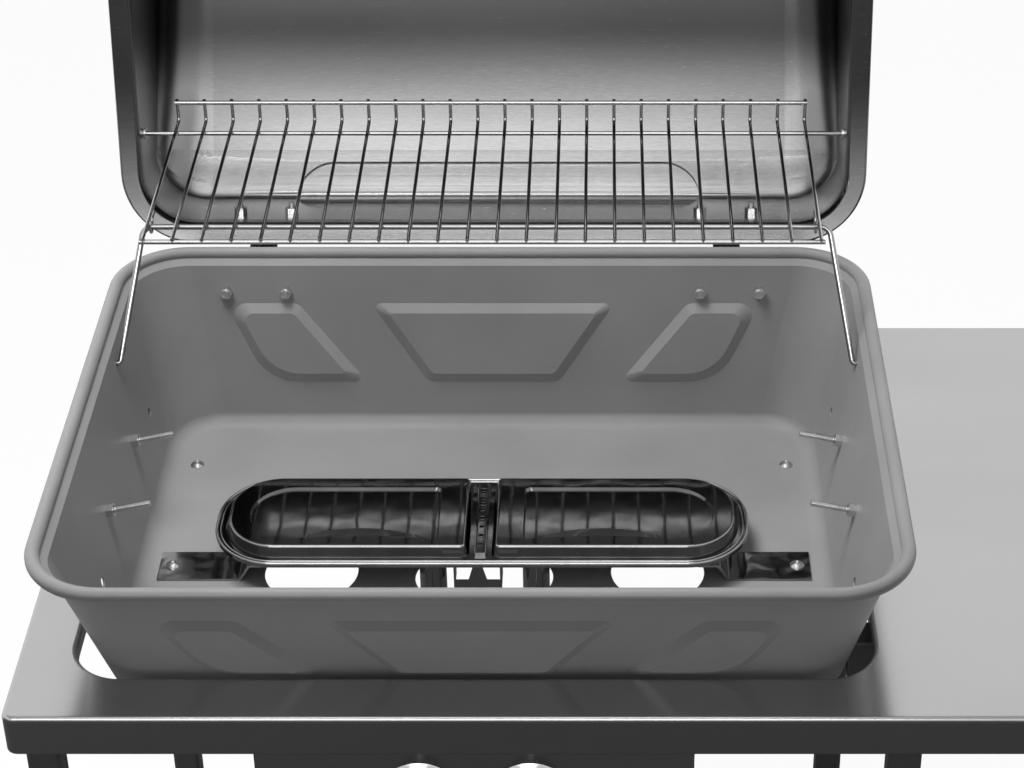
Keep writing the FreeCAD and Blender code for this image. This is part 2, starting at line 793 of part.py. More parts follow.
def make_rack():
    """Wire grid with an upturned rear edge; the wires are welded to the cross wires."""
    sink = 0.3
    wires = []
    corner = 5.0
    for i in range(rack_wires):
        x = rack_x + (i - (rack_wires - 1) / 2) * rack_pitch
        line = [(x, rack_front - 2.5, rack_z), (x, rack_back, rack_z), (x, rack_back, rack_z + rack_upturn)]
        wires.append(bar(line, corner, (-1, 0, 0), rack_wire_r))
    half = (rack_wires - 1) / 2 * rack_pitch + 3.4
    low = rack_z - rack_wire_r - cross_wire_r + sink
    front = cylinder(cross_wire_r, (rack_x - half, rack_front, low), (rack_x + half, rack_front, low))
    high = rack_z + rack_upturn - rack_wire_r
    back_y = rack_back - rack_wire_r - cross_wire_r + sink
    back_half = (rack_wires - 1) / 2 * rack_pitch + rack_wire_r
    back = cylinder(cross_wire_r, (rack_x - back_half, back_y, high), (rack_x + back_half, back_y, high))
    hooks = []
    reach = bail_r + hook_room + hook_wire_r
    hook_x = (rack_wires - 1) / 2 * rack_pitch - rack_wire_r - hook_wire_r + 0.2
    y, z = bail_top
    for x in (rack_x - hook_x, rack_x + hook_x):
        hooks.append(bar([(x, y + reach + 13, rack_z), (x, y + reach, rack_z), (x, y + reach, z - reach),
                          (x, y - reach, z - reach), (x, y - reach, rack_z - 2.5)],
                         [0, 2.2, reach - 0.4, reach - 0.4, 0], (1, 0, 0), hook_wire_r))
    return join(wires + [front, back] + hooks)


def make_rod():
    """Pivot rod under the rack's wires, with push nuts just inside the lid's walls."""
    half = mouth_half_x + lid_sheet + 4.0
    inside = mouth_half_x - loose
    pin = cylinder(rod_r, (-half, *rod), (half, *rod))
    pin = fillet(pin, 0.8, lambda e: e.BoundBox.XLength < 0.01)
    nuts = []
    for sign in (-1, 1):
        for start in (inside - push_nut_wide, mouth_half_x + lid_sheet + loose):
            disc = cylinder(push_nut_r, (sign * start, *rod), (sign * (start + push_nut_wide * 0.5), *rod))
            hub = cylinder(rod_r + 1.4, (sign * start, *rod), (sign * (start + push_nut_wide), *rod))
            nuts.append(disc.fuse(hub).cut(pin).removeSplitter())
    return pin, group(nuts)


def make_bail():
    """Swinging wire in one plane: stub, leg, crossbar, leg, stub."""
    outer = side_wall_x(bail_low[1]) + firebox_sheet + 6
    line = [(-outer, *bail_low), (-bail_half_low, *bail_low), (-bail_half_top, *bail_top),
            (bail_half_top, *bail_top), (bail_half_low, *bail_low), (outer, *bail_low)]
    up = Vec(0, bail_top[0] - bail_low[0], bail_top[1] - bail_low[1]).normalize()
    normal = X_AXIS.cross(up)
    bends = [0, bail_bend_low, bail_bend_top, bail_bend_top, bail_bend_low, 0]
    return bar(line, bends, tuple(normal), bail_r)


def lobe(sign, shrink, low, high):
    """One half of the burner's raised top, between the crimped rim and the middle valley."""
    half_x = burner_half_x - burner_rim - shrink
    half_y = burner_half_y - burner_rim - shrink
    radius = burner_corner - burner_rim - shrink
    inner = burner_valley + shrink

    def outline(z, draw):
        x0, x1 = inner + draw, half_x - draw
        y0, y1 = burner_y - half_y + draw, burner_y + half_y - draw
        pts = [(x1, y1, z), (x0, y1, z), (x0, y0, z), (x1, y0, z)]
        return rounded([(sign * x, y, h) for x, y, h in pts], [radius - draw, 7, 7, radius - draw])

    return loft(outline(low, 0.0), outline(high, burner_lean))


def dish(sign, grow):
    """Shallow dish pressed into a lobe: round outside, square inside, with a long front slope."""
    top_z = burner_rim_z + burner_rise + 1.0
    low_z = burner_rim_z + burner_rise - dish_deep - grow

    def outline(z, inset, bulge):
        x0, x1 = dish_inner + inset, dish_outer - inset
        y0, y1 = dish_front + inset, dish_back - inset
        r = (y1 - y0) / 2
        mid = (y0 + y1) / 2
        c = dish_corner
        turn = c * (1 - math.sqrt(0.5))
        edges = [
            ((x0 + c, y1), None, (x1 - r, y1)),
            ((x1 - r, y1), (x1, mid), (x1 - r, y0)),
            ((x1 - r, y0), ((x0 + x1 - r) / 2, y0 + bulge), (x0 + c, y0)),
            ((x0 + c, y0), (x0 + turn, y0 + turn), (x0, y0 + c)),
            ((x0, y0 + c), None, (x0, y1 - c)),
            ((x0, y1 - c), (x0 + turn, y1 - turn), (x0 + c, y1)),
        ]
        made = []
        for start, through, end in edges:
            start, end = Vec(sign * start[0], start[1], z), Vec(sign * end[0], end[1], z)
            if through is None:
                made.append(Part.makeLine(start, end))
            else:
                made.append(Part.Arc(start, Vec(sign * through[0], through[1], z), end).toShape())
        return Part.Wire(made)

    return loft(outline(top_z, -0.5 - grow, -1.0), outline(low_z, dish_edge - grow, dish_slope))


def make_burner_top():
    sheet = burner_sheet
    top_z = burner_rim_z + burner_rise
    rim = plate(burner_half_x, burner_half_y, burner_corner, burner_rim_z - sheet, burner_rim_z, 0, burner_y)
    hem_low = burner_rim_z - sheet - 1.6
    edge = plate(burner_half_x, burner_half_y, burner_corner, hem_low, burner_rim_z, 0, burner_y)
    edge = edge.cut(plate(burner_half_x - 2, burner_half_y - 2, burner_corner - 2,
                          hem_low - 1, burner_rim_z + 1, 0, burner_y))
    solids, hollows = [rim, edge], []
    for sign in (-1, 1):
        body = lobe(sign, 0.0, burner_rim_z - 0.2, top_z)
        body = fillet(body, burner_edge_fillet, lambda e: abs(e.BoundBox.ZMin - top_z) < 0.02)
        solids.append(body.cut(dish(sign, 0.0)))
        hollows.append(lobe(sign, sheet, burner_rim_z - sheet - 0.2, top_z - sheet).cut(dish(sign, sheet)))
    shell = join(solids)
    for hollow in hollows:
        shell = shell.cut(hollow)
    window = box((-port_strip_half, burner_y - burner_half_y + 12, burner_rim_z - 5),
                 (port_strip_half, burner_y + burner_half_y - 12, burner_rim_z + 5))
    shell = shell.cut(window).removeSplitter()
    shell.translate(Vec(burner_x, 0, 0))
    return shell


def make_port_strip():
    """Channel across the middle that carries the flame from one lobe to the other."""
    half_y = burner_half_y - 12 - touch
    half = port_strip_half - touch
    low, high = burner_rim_z - burner_sheet, burner_rim_z + 3.0
    body = box((-half, burner_y - half_y, low), (half, burner_y + half_y, high))
    body = fillet(body, 1.2, lambda e: abs(e.BoundBox.ZMin - high) < 0.01 and e.BoundBox.YLength > 10)
    pitch = 2 * half_y / (port_count + 1)
    side = port_size / 2
    for i in range(port_count):
        y = burner_y - half_y + pitch * (i + 1)
        body = body.cut(box((-side, y - side, low - 1), (side, y + side, high + 1)))
    body.translate(Vec(burner_x, 0, 0))
    return body


def make_burner_pan():
    sheet = burner_sheet
    top = burner_rim_z - sheet
    low = pan_low
    inset, lean = 4.0, 8.0

    def ring(shrink, z):
        half_x, half_y = burner_half_x - shrink, burner_half_y - shrink
        return rect_wire(half_x, half_y, burner_corner - shrink, z, 0, burner_y)

    flange = plate(burner_half_x - 2 - touch, burner_half_y - 2 - touch, burner_corner - 2 - touch,
                   top - sheet, top - touch, 0, burner_y)
    deep = loft(ring(inset, top - touch), ring(inset + lean, low))
    hollow = loft(ring(inset + sheet, top + 1), ring(inset + lean + sheet, low + sheet))
    pan = flange.fuse(deep).cut(hollow)
    pan.translate(Vec(burner_x, 0, 0))
    for sign in (-1, 1):
        x = sign * venturi_x
        pan = pan.cut(cylinder(venturi_r + touch, (x, venturi_y, low - 2), (x, venturi_y, low + 4)))
    return pan.removeSplitter()


def make_venturi(sign):
    """Tube that drops from the pan, bends forwards and ends in a bell with air windows."""
    x = sign * venturi_x
    top = pan_low + 3.0
    line = [(x, venturi_y, top), (x, venturi_y, gas_z), (x, venturi_mouth_y, gas_z)]
    pipe = bar(line, venturi_bend, (1, 0, 0), venturi_r, venturi_r - venturi_sheet)
    bell_r, bell_long = venturi_r + 4, 12.0
    neck = Vec(x, venturi_mouth_y + bell_long, gas_z)
    bell = Part.makeCone(venturi_r, bell_r, bell_long, neck, Vec(0, -1, 0))
    hollow = Part.makeCone(venturi_r - venturi_sheet, bell_r - venturi_sheet, bell_long, neck, Vec(0, -1, 0))
    pipe = pipe.cut(cylinder(venturi_r + 1, (x, venturi_mouth_y - 1, gas_z), tuple(neck)))
    pipe = pipe.fuse(bell.cut(hollow))
    window = box((x - 4, venturi_mouth_y + 20, gas_z - bell_r), (x + 4, venturi_mouth_y + 38, gas_z + bell_r))
    return pipe.cut(window).removeSplitter()


def make_collector():
    """Small sheet box under the burner's front edge that guides gas to the spark.

    Its front has an opening on each side of a tab that narrows upwards.
    """
    y = burner_y - burner_half_y + 12
    top = pan_low - touch
    half, deep, low = 19.5, 22.0, top - 24
    sheet = 1.0
    shell = box((-half, y, low), (half, y + deep, top))
    shell = shell.cut(box((-half + sheet, y + sheet, low - 1), (half - sheet, y + deep + 1, top - sheet)))
    for sign in (-1, 1):
        high, under = top - 1.5, top - 14.5
        corners = [(sign * 4, high), (sign * 18, high), (sign * 18, under), (sign * 7.5, under)]
        window = Part.Face(Part.makePolygon([Vec(x, y - 1, z) for x, z in corners + corners[:1]]))
        shell = shell.cut(window.extrude(Vec(0, 2 + sheet, 0)))
    shell.translate(Vec(collector_x, 0, 0))
    return shell.removeSplitter()


def make_electrode():
    y = burner_y - burner_half_y + 12 + 12
    top = pan_low - touch - 1.0 - touch
    x = collector_x
    body = cylinder(3.2, (x, y, top - 34), (x, y, top - 5))
    collar = cylinder(4.6, (x, y, top - 22), (x, y, top - 18))
    tip = cylinder(1.0, (x, y, top - 6), (x, y, top))
    return join([body, collar, tip])


def make_bracket(sign):
    """Strip screwed to the floor, bent up so that its inner end carries the burner's pan."""
    half = bracket_sheet / 2
    seat = floor_z + half
    rise = pan_low - half - touch
    outer = floor_half_x - floor_fillet
    line = [(sign * outer, seat), (sign * 198, seat), (sign * 190, rise), (sign * 173, rise)]
    face = strip(line, 3.0, bracket_sheet)
    y0 = bracket_y - bracket_width / 2
    strap = set_section(face, Vec(0, y0, 0), X_AXIS, Z_AXIS).extrude(Vec(0, bracket_width, 0))
    x = sign * screw_x
    return strap.cut(cylinder(screw_r + clear, (x, bracket_y, floor_z - 5), (x, bracket_y, floor_z + 9)))


def make_valve(sign):
    """Tapered-plug valve: body on the manifold, a barrel towards the panel and a nose."""
    x = sign * venturi_x
    half = valve_half
    body = box((x - half, manifold_y - 15, gas_z - half), (x + half, manifold_y + 14, gas_z + half))
    body = fillet(body, 3.0, lambda e: e.BoundBox.YLength > 20)
    barrel = cylinder(9.0, (x, barrel_front, gas_z), (x, manifold_y - 14, gas_z))
    bore = cylinder(manifold_r + touch, (x - 30, manifold_y, gas_z), (x + 30, manifold_y, gas_z))
    plug = cylinder(plug_r + running, (x, barrel_front - 1, gas_z), (x, plug_back + loose, gas_z))
    nose = cylinder(3.5, (x, manifold_y + 13, gas_z), (x, manifold_y + 18, gas_z))
    return join([body, barrel, nose]).cut(bore).cut(plug).removeSplitter()


def make_plug(sign):
    """Turning plug in the valve's barrel, with a socket that the stem slides in."""
    x = sign * venturi_x
    plug = cylinder(plug_r, (x, plug_back - plug_long, gas_z), (x, plug_back, gas_z))
    front = plug_back - plug_long - 1
    return plug.cut(cylinder(stem_r + running, (x, front, gas_z), (x, plug_back - 2, gas_z)))


def make_orifices():
    made = []
    for sign in (-1, 1):
        x = sign * venturi_x
        y = manifold_y + 18 + touch
        spud = hexagon(9.0, (x, y, gas_z), (x, y + 6, gas_z))
        spud = spud.fuse(cylinder(3.0, (x, y + 6, gas_z), (x, y + 21, gas_z)))
        made.append(spud.cut(cylinder(0.9, (x, y - 1, gas_z), (x, y + 23, gas_z))).removeSplitter())
    return group(made)


def make_manifold():
    left = -venturi_x - 22
    right = inlet_x - inlet_body / 2 - touch
    pipe = cylinder(manifold_r, (left, manifold_y, gas_z), (right, manifold_y, gas_z))
    return pipe.cut(cylinder(manifold_r - 2, (left + 4, manifold_y, gas_z), (right + 1, manifold_y, gas_z)))


def make_inlet():
    """Elbow at the manifold's right end: a block with a flared neck that points to the back."""
    half = inlet_body / 2
    block = box((inlet_x - half, manifold_y - half, gas_z - half),
                (inlet_x + half, manifold_y + half, gas_z + half))
    block = fillet(block, 2.5, lambda e: max(e.BoundBox.YLength, e.BoundBox.ZLength) > inlet_body - 1)
    seat = manifold_y + half
    tip = seat + inlet_long
    neck = cylinder(inlet_r, (inlet_x, seat - 1, gas_z), (inlet_x, tip, gas_z))
    cone = Part.makeCone(inlet_r - 1, 4.2, 5, Vec(inlet_x, tip, gas_z), Y_AXIS)
    along = cylinder(2.6, (inlet_x - half - 1, manifold_y, gas_z), (inlet_x, manifold_y, gas_z))
    back = cylinder(2.6, (inlet_x, manifold_y, gas_z), (inlet_x, tip + 6, gas_z))
    return join([block, neck, cone]).cut(along).cut(back)


def make_panel():
    """Bent sheet below the deck's lip, with holes for two stems and the igniter."""
    half = panel_sheet / 2
    top = rail_low - half - touch
    line = [(leg_front_y + tube / 2 - 4, top), (panel_y + half, top), (panel_y + half, panel_low + half),
            (panel_y + panel_return, panel_low + half)]
    face = strip(line, [0, 3.0, 3.0, 0], panel_sheet)
    panel = set_section(face, Vec(-panel_half, 0, 0), Y_AXIS, Z_AXIS).extrude(Vec(2 * panel_half, 0, 0))
    for sign in (-1, 1):
        x = sign * venturi_x
        panel = panel.cut(cylinder(stem_r + 1.5, (x, panel_y - 5, gas_z), (x, panel_y + 8, gas_z)))
    return panel.cut(cylinder(button_r + 2, (button_x, panel_y - 5, gas_z), (button_x, panel_y + 8, gas_z)))


def make_knob(sign):
    """Turned skirt with a grip ridge across its face and a bore for the stem."""
    x = sign * venturi_x
    back = knob_back
    front = back - knob_deep
    skirt_deep = knob_deep * 0.45
    face_y = back - skirt_deep
    skirt = Part.makeCone(knob_r, knob_r - 2, skirt_deep, Vec(x, back, gas_z), Vec(0, -1, 0))
    skirt = fillet(skirt, 2.0, lambda e: abs(e.BoundBox.YMin - face_y) < 0.01 and e.BoundBox.XLength > 30)
    core = Part.makeCone(knob_r - 7, knob_r - 8, knob_deep - 4, Vec(x, back, gas_z), Vec(0, -1, 0))
    grip = rounded([(x - 5, 0, gas_z - knob_r + 2), (x + 5, 0, gas_z - knob_r + 2),
                    (x + 5, 0, gas_z + knob_r - 2), (x - 5, 0, gas_z + knob_r - 2)], 3.5)
    ridge = Part.Face(grip).extrude(Vec(0, -knob_deep + 2, 0))
    ridge.translate(Vec(0, back - 2, 0))
    knob = join([skirt, core, ridge])
    return knob.cut(cylinder(stem_r + touch, (x, back + 1, gas_z), (x, front + 9, gas_z)))


def make_bezels():
    made = []
    for sign in (-1, 1):
        x = sign * venturi_x
        seat = Vec(x, panel_y - touch, gas_z)
        disc = Part.makeCone(knob_r + 8, knob_r + 5, bezel_deep, seat, Vec(0, -1, 0))
        disc = disc.cut(cylinder(stem_r + 1.5, (x, panel_y + 1, gas_z), (x, panel_y - 9, gas_z)))
        made.append(disc)
    return group(made)


def make_stem(sign):
    x = sign * venturi_x
    front, back = knob_back - knob_deep + 9.5, plug_back - 2 - loose - knob_travel
    return cylinder(stem_r, (x, front, gas_z), (x, back, gas_z))


def make_igniter():
    """Igniter barrel behind the panel with its collar in front, and the button in its mouth."""
    collar_y = panel_y - 4
    body = cylinder(button_r + 1.8, (button_x, collar_y, gas_z), (button_x, panel_y + 48, gas_z))
    collar = cylinder(button_r + 5, (button_x, collar_y, gas_z), (button_x, panel_y - touch, gas_z))
    collar = fillet(collar, 1.5, lambda e: abs(e.BoundBox.YMax - collar_y) < 0.01)
    nut_y = panel_y + panel_sheet + touch
    nut_part = hexagon(24.0, (button_x, nut_y, gas_z), (button_x, nut_y + 5, gas_z))
    mouth_back = collar_y + 12 + button_travel
    mouth = cylinder(button_r + loose, (button_x, collar_y - 1, gas_z), (button_x, mouth_back, gas_z))
    body = join([body, collar, nut_part]).cut(mouth).removeSplitter()
    front = collar_y - button_travel - 2
    button = cylinder(button_r, (button_x, front, gas_z), (button_x, collar_y + 11.5, gas_z))
    button = fillet(button, 1.6, lambda e: abs(e.BoundBox.YMax - front) < 0.01)
    return body, button


def tube_section(size=tube, wall=tube_wall, corner=tube_corner):
    half = size / 2
    outer = Part.Face(rect_wire(half, half, corner))
    return outer.cut(Part.Face(rect_wire(half - wall, half - wall, corner - wall)))


def make_leg_frame(sign):
    """One bent tube: front leg, side rail under the deck, rear leg."""
    x = sign * leg_x
    top = rail_top - tube / 2
    foot = floor_level + (foot_high - 16 if sign < 0 else wheel_r - 22)
    line = [(x, leg_front_y, foot), (x, leg_front_y, top), (x, leg_back_y, top), (x, leg_back_y, foot)]
    frame = sweep(tube_section(), line, leg_bend, (1, 0, 0))
    if sign > 0:
        z = floor_level + wheel_r
        for y in (leg_front_y, leg_back_y):
            frame = frame.cut(cylinder(axle_r + touch, (x, y - tube, z), (x, y + tube, z)))
    return frame


def make_rail(y):
    """Cross tube under the deck, its ends coped to the side rails."""
    top = rail_top - tube / 2
    half = leg_x - tube / 2 - touch
    return sweep(tube_section(), [(-half, y, top), (half, y, top)], 0, Z_AXIS)


def make_shelf():
    """Tray between the legs with a turned lip and two stiffening ribs."""
    half_x = leg_x - tube / 2 - touch
    y0, y1 = leg_front_y - tube / 2, leg_back_y + tube / 2
    mid_y, half_y = (y0 + y1) / 2, (y1 - y0) / 2
    sheet = 1.2
    edge = strip([(-4.5, -sheet / 2), (-sheet / 2, -sheet / 2), (-sheet / 2, -shelf_lip)], [0, 2.6, 0], sheet)
    lip = sweep(edge, rect_points(half_x, half_y, shelf_z, 0, mid_y), 12.0, Z_AXIS, closed=True)
    top = plate(half_x - 4, half_y - 4, 8.0, shelf_z - sheet, shelf_z, 0, mid_y)
    rib = plate(half_x - 60, 9.0, 8.0, shelf_z - sheet / 2, shelf_z + 3.0)
    groove = plate(half_x - 60 - sheet, 9.0 - sheet, 7.0, shelf_z - 9, shelf_z + 3.0 - sheet)
    shelf = join([top, lip])
    for y in (mid_y - half_y / 2, mid_y + half_y / 2):
        ridge, hollow = rib.copy(), groove.copy()
        ridge.translate(Vec(0, y, 0))
        hollow.translate(Vec(0, y, 0))
        shelf = shelf.fuse(ridge).cut(hollow)
    return shelf.removeSplitter()


def make_shelf_bolts():
    """Round-head bolts through the legs into the shelf's lip."""
    made = []
    z = shelf_z - shelf_lip / 2
    for sign in (-1, 1):
        for y in (leg_front_y, leg_back_y):
            x = sign * (leg_x + tube / 2 + touch)
            head = cylinder(6.5, (x, y, z), (x + sign * 4, y, z))
            made.append(fillet(head, 1.8, lambda e, far=x + sign * 4: abs(e.CenterOfMass.x - far) < 0.01))
    return group(made)


def make_support(sign):
    """Stepped bracket that hangs from the side rail and carries the firebox's floor."""
    sheet = 2.0
    top = rail_low - sheet / 2 - touch
    seat = floor_z - firebox_sheet - sheet / 2 - touch
    line = [(sign * (leg_x + 9), top), (sign * 301, top), (sign * 301, seat), (sign * (screw_x - 16), seat)]
    face = strip(line, 3.0, sheet)
    width = support_back - support_front
    bracket = set_section(face, Vec(0, support_front, 0), X_AXIS, Z_AXIS).extrude(Vec(0, width, 0))
    x = sign * screw_x
    for y in (screw_back_y, bracket_y):
        bracket = bracket.cut(cylinder(screw_r + clear, (x, y, seat - 6), (x, y, seat + 6)))
    return bracket


def make_wing_beams():
    """Two channels under the right side rail, each with two hollow posts below the deck's wing."""
    top = rail_low - touch
    start, end = wing_beam_start, deck_right - 10
    half, sheet = 12.5, 2.0
    post_half, post_wall = 10.0, 1.5
    beams = []
    for y in (wing_beam_y, wing_beam_back_y):
        line = [(half, -sheet / 2), (-half, -sheet / 2), (-half, -wing_beam_high), (half, -wing_beam_high)]
        section = strip(line, [0, 3.0, 3.0, 0], sheet)
        beam = set_section(section, Vec(start, y, top), Y_AXIS, Z_AXIS).extrude(Vec(end - start, 0, 0))
        for x in (leg_x + tube / 2 + 40, deck_right - 60):
            post = box((x, y - post_half, top - 0.5), (x + 40, y + post_half, rail_top))
            inside = box((x - 1, y - post_half + post_wall, top - 2),
                         (x + 41, y + post_half - post_wall, rail_top - post_wall))
            beam = beam.fuse(post.cut(inside))
        beams.append(beam.removeSplitter())
    return group(beams)


def make_wheel(y, side):
    """Hub with five spokes and its tyre, on an axle that runs front to back."""
    z = floor_level + wheel_r
    x = leg_x
    y0, y1 = sorted((y, y + side * wheel_wide))
    inner_r = wheel_r - tyre_deep
    tread = [(inner_r, y0 + 4, 0), (wheel_r - 3, y0 + 3, 0), (wheel_r, y0 + 9, 0),
             (wheel_r, y1 - 9, 0), (wheel_r - 3, y1 - 3, 0), (inner_r, y1 - 4, 0)]
    tyre_profile = rounded(tread, [0, 4, 4, 4, 4, 0])
    tyre = Part.Face(tyre_profile).revolve(Vec(0, 0, 0), Y_AXIS, 360)
    seat = inner_r - touch
    rim_line = [(inner_r - 8, y0 + 6, 0), (seat, y0 + 4, 0), (seat, y1 - 4, 0), (inner_r - 8, y1 - 6, 0)]
    rim = Part.Face(rounded(rim_line, 0)).revolve(Vec(0, 0, 0), Y_AXIS, 360)
    boss = cylinder(14.0, (0, y0, 0), (0, y1, 0))
    spokes = []
    for i in range(5):
        arm = box((10, y0 + 10, -6), (inner_r - 5, y1 - 10, 6))
        arm.rotate(Vec(0, 0, 0), Y_AXIS, 72 * i + 18)
        spokes.append(arm)
    bore = cylinder(axle_r + running, (0, y0 - 1, 0), (0, y1 + 1, 0))
    hub = join([rim, boss] + spokes).cut(bore).removeSplitter()
    for shape in (tyre, hub):
        shape.translate(Vec(x, 0, z))
    return hub, tyre


def make_axle():
    z = floor_level + wheel_r
    front = leg_front_y - tube / 2 - 2 - wheel_wide - 5
    back = leg_back_y + tube / 2 + 2 + wheel_wide + 5
    rod_part = cylinder(axle_r, (leg_x, front, z), (leg_x, back, z))
    caps = []
    for y, side in ((front, 1), (back, -1)):
        outer = y - side * 3
        cap = cylinder(axle_r + 4, (leg_x, outer, z), (leg_x, y + side * 4.5, z))
        cap = fillet(cap, 2.4, lambda e, end=outer: abs(e.CenterOfMass.y - end) < 0.01)
        caps.append(cap.cut(rod_part))
    return rod_part, group(caps)


def make_feet():
    made = []
    for y in (leg_front_y, leg_back_y):
        x = -leg_x
        half = tube / 2
        cap = loft(rect_wire(half + 3, half + 3, tube_corner + 3, floor_level, x, y),
                   rect_wire(half + 1.6, half + 1.6, tube_corner + 1.6, floor_level + foot_high, x, y))
        seat = floor_level + foot_high - 16 - touch
        socket = plate(half + touch, half + touch, tube_corner, seat, floor_level + 40, x, y)
        made.append(cap.cut(socket))
    return group(made)


def build():
    p = pieces
    p["firebox"] = make_firebox()
    p["deck"] = make_deck()
    lid_swing = -lid_open
    p["lid_shell"] = turned(make_lid(), hinge, lid_swing)
    handle, posts = make_handle()
    p["lid_handle"] = turned(handle, hinge, lid_swing)
    p["handle_posts"] = turned(posts, hinge, lid_swing)
    for name, sign in (("left", -1), ("right", 1)):
        p["burner_bracket_" + name] = make_bracket(sign)
        p["venturi_" + name] = make_venturi(sign)
        p["gas_valve_" + name] = make_valve(sign)
        p["knob_" + name] = make_knob(sign)
        p["valve_stem_" + name] = make_stem(sign)
        p["valve_plug_" + name] = make_plug(sign)
        p["leg_frame_" + name] = make_leg_frame(sign)
        p["firebox_support_" + name] = make_support(sign)
    p["hinge_leaves_lower"] = group([hinge_lower(-1), hinge_lower(1)])
    p["hinge_leaves_upper"] = turned(group([hinge_upper(-1), hinge_upper(1)]), hinge, lid_swing)
    p["hinge_pins"] = make_hinge_pins()
    leaf = hinge_leaf_sheet + touch
    back = -(firebox_sheet * math.cos(math.radians(end_draft)) + leaf + touch)
    p["hinge_bolts_lower"] = group(lower_bolt_places(bolt, back, 7.5))
    p["hinge_nuts_lower"] = group(lower_bolt_places(lambda a, b: nut(a, b, screw_r), touch, nut_high))
    lid_back = -(lid_sheet + leaf + touch)
    p["hinge_bolts_upper"] = turned(group(upper_bolt_places(bolt, lid_back, 10.0)), hinge, lid_swing)
    upper_nuts = group(upper_bolt_places(lambda a, b: nut(a, b, screw_r), touch, nut_high))
    p["hinge_nuts_upper"] = turned(upper_nuts, hinge, lid_swing)
    p["side_bolts"] = group(side_bolt_places(
        lambda a, b: bolt(a, b, radius=side_bolt_r), -firebox_sheet - 0.1, side_bolt_reach))
    p["side_bolt_nuts"] = group(side_bolt_places(lambda a, b: nut(a, b, side_bolt_r), touch, 6.0))
    screws = []
    for sign in (-1, 1):
        screws.append(pan_screw(sign * screw_x, screw_back_y, floor_z + touch, 9))
        screws.append(pan_screw(sign * screw_x, bracket_y, floor_z + bracket_sheet + touch, 11))
    p["floor_screws"] = group(screws)
    p["warming_rack"] = make_rack()
    p["rack_rod"], p["rack_push_nuts"] = make_rod()
    p["rack_bail"] = make_bail()
    p["burner_top"] = make_burner_top()
    p["burner_pan"] = make_burner_pan()
    p["burner_port_strip"] = make_port_strip()
    p["igniter_collector"] = make_collector()
    p["igniter_electrode"] = make_electrode()
    p["gas_manifold"] = make_manifold()
    p["gas_orifices"] = make_orifices()
    p["gas_inlet"] = make_inlet()
    p["control_panel"] = make_panel()
    p["knob_bezels"] = make_bezels()
    p["igniter_body"], p["igniter_button"] = make_igniter()
    p["cross_rails"] = group([make_rail(leg_front_y), make_rail(leg_back_y)])
    p["bottom_shelf"] = make_shelf()
    p["shelf_bolts"] = make_shelf_bolts()
    p["wing_beams"] = make_wing_beams()
    p["wheel_hub_front"], p["wheel_tyre_front"] = make_wheel(leg_front_y - tube / 2 - 2, -1)
    p["wheel_hub_rear"], p["wheel_tyre_rear"] = make_wheel(leg_back_y + tube / 2 + 2, 1)
    p["wheel_axle"], p["axle_caps"] = make_axle()
    p["foot_caps"] = make_feet()


def write():
    front = min(s.BoundBox.YMin for s in pieces.values())
    back = max(s.optimalBoundingBox().YMax for n, s in pieces.items() if n == "lid_shell")
    origin = Vec((deck_left + deck_right) / 2, (front + back) / 2, floor_level)
    os.makedirs("parts", exist_ok=True)
    for name, shape in pieces.items():
        moved = shape.copy()
        moved.translate(origin * -1)
        moved.exportStep("parts/" + name + ".step")
        print(name, "solids", len(moved.Solids), "valid", moved.isValid(), "volume", round(moved.Volume))
    for label, point in (("hinge", hinge), ("rod", rod), ("bail_low", bail_low), ("bail_top", bail_top)):
        print(label, round(point[0] - origin.y, 3), round(point[1] - origin.z, 3))
    print("origin", origin)


build()
write()
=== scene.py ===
import json
import math

import bmesh
import bpy
from mathutils import Matrix, Vector


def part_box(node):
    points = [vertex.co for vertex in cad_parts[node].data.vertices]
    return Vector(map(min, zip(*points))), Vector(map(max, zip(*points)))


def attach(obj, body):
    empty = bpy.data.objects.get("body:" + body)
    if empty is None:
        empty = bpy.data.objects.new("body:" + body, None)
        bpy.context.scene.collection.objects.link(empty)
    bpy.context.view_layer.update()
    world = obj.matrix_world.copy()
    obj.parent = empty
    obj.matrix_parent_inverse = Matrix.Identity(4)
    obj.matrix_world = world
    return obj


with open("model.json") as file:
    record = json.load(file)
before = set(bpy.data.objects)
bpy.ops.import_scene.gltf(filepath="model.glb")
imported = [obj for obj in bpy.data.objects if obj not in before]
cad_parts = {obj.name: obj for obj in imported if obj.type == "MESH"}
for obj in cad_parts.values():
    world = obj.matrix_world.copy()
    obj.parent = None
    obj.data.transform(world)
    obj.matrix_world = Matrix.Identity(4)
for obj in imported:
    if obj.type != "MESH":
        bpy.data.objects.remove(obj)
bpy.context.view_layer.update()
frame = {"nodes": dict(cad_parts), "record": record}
nodes = frame["nodes"]

# Camera: metres from the middle of the firebox's rim, degrees below level, millimetres of lens
camera_right = 0.0965
camera_ahead = 1.615
camera_above = 1.085
camera_pitch = 33.5
camera_lens = 86.5
camera_shift = -0.0889

# Light: watts, and metres from the middle of the firebox's rim
world_strength, backdrop_strength = 0.23, 1.0
overhead_place, overhead_size, overhead_power = (-0.45, 0.22, 1.60), (1.0, 0.7), 29.5
panel_place, panel_size, panel_power = (-0.1, 0.0, 1.70), (1.6, 1.0), 6.0
key_place, key_aim, key_size, key_power = (-0.25, -2.3, 1.75), (0.0, 0.1, 0.0), (1.6, 0.3), 15.0
floor_half, floor_glow, floor_share = 12.0, 1.06, 0.88

# How bright the metal sees the studio: darker overhead and low in front, and on the floor a painted
# shadow close by and painted shade in front of the grill, which only reflections show
sky_start, sky_end, sky_dark = 0.66, 0.86, 0.5
back_start, back_end = -0.35, 0.20
low_start, low_end, low_dark = 0.08, 0.40, 0.08
near_start, near_end, near_dark = 1.2, 2.6, 0.05
front_start, front_end, front_dark = -1.0, 1.0, 0.10

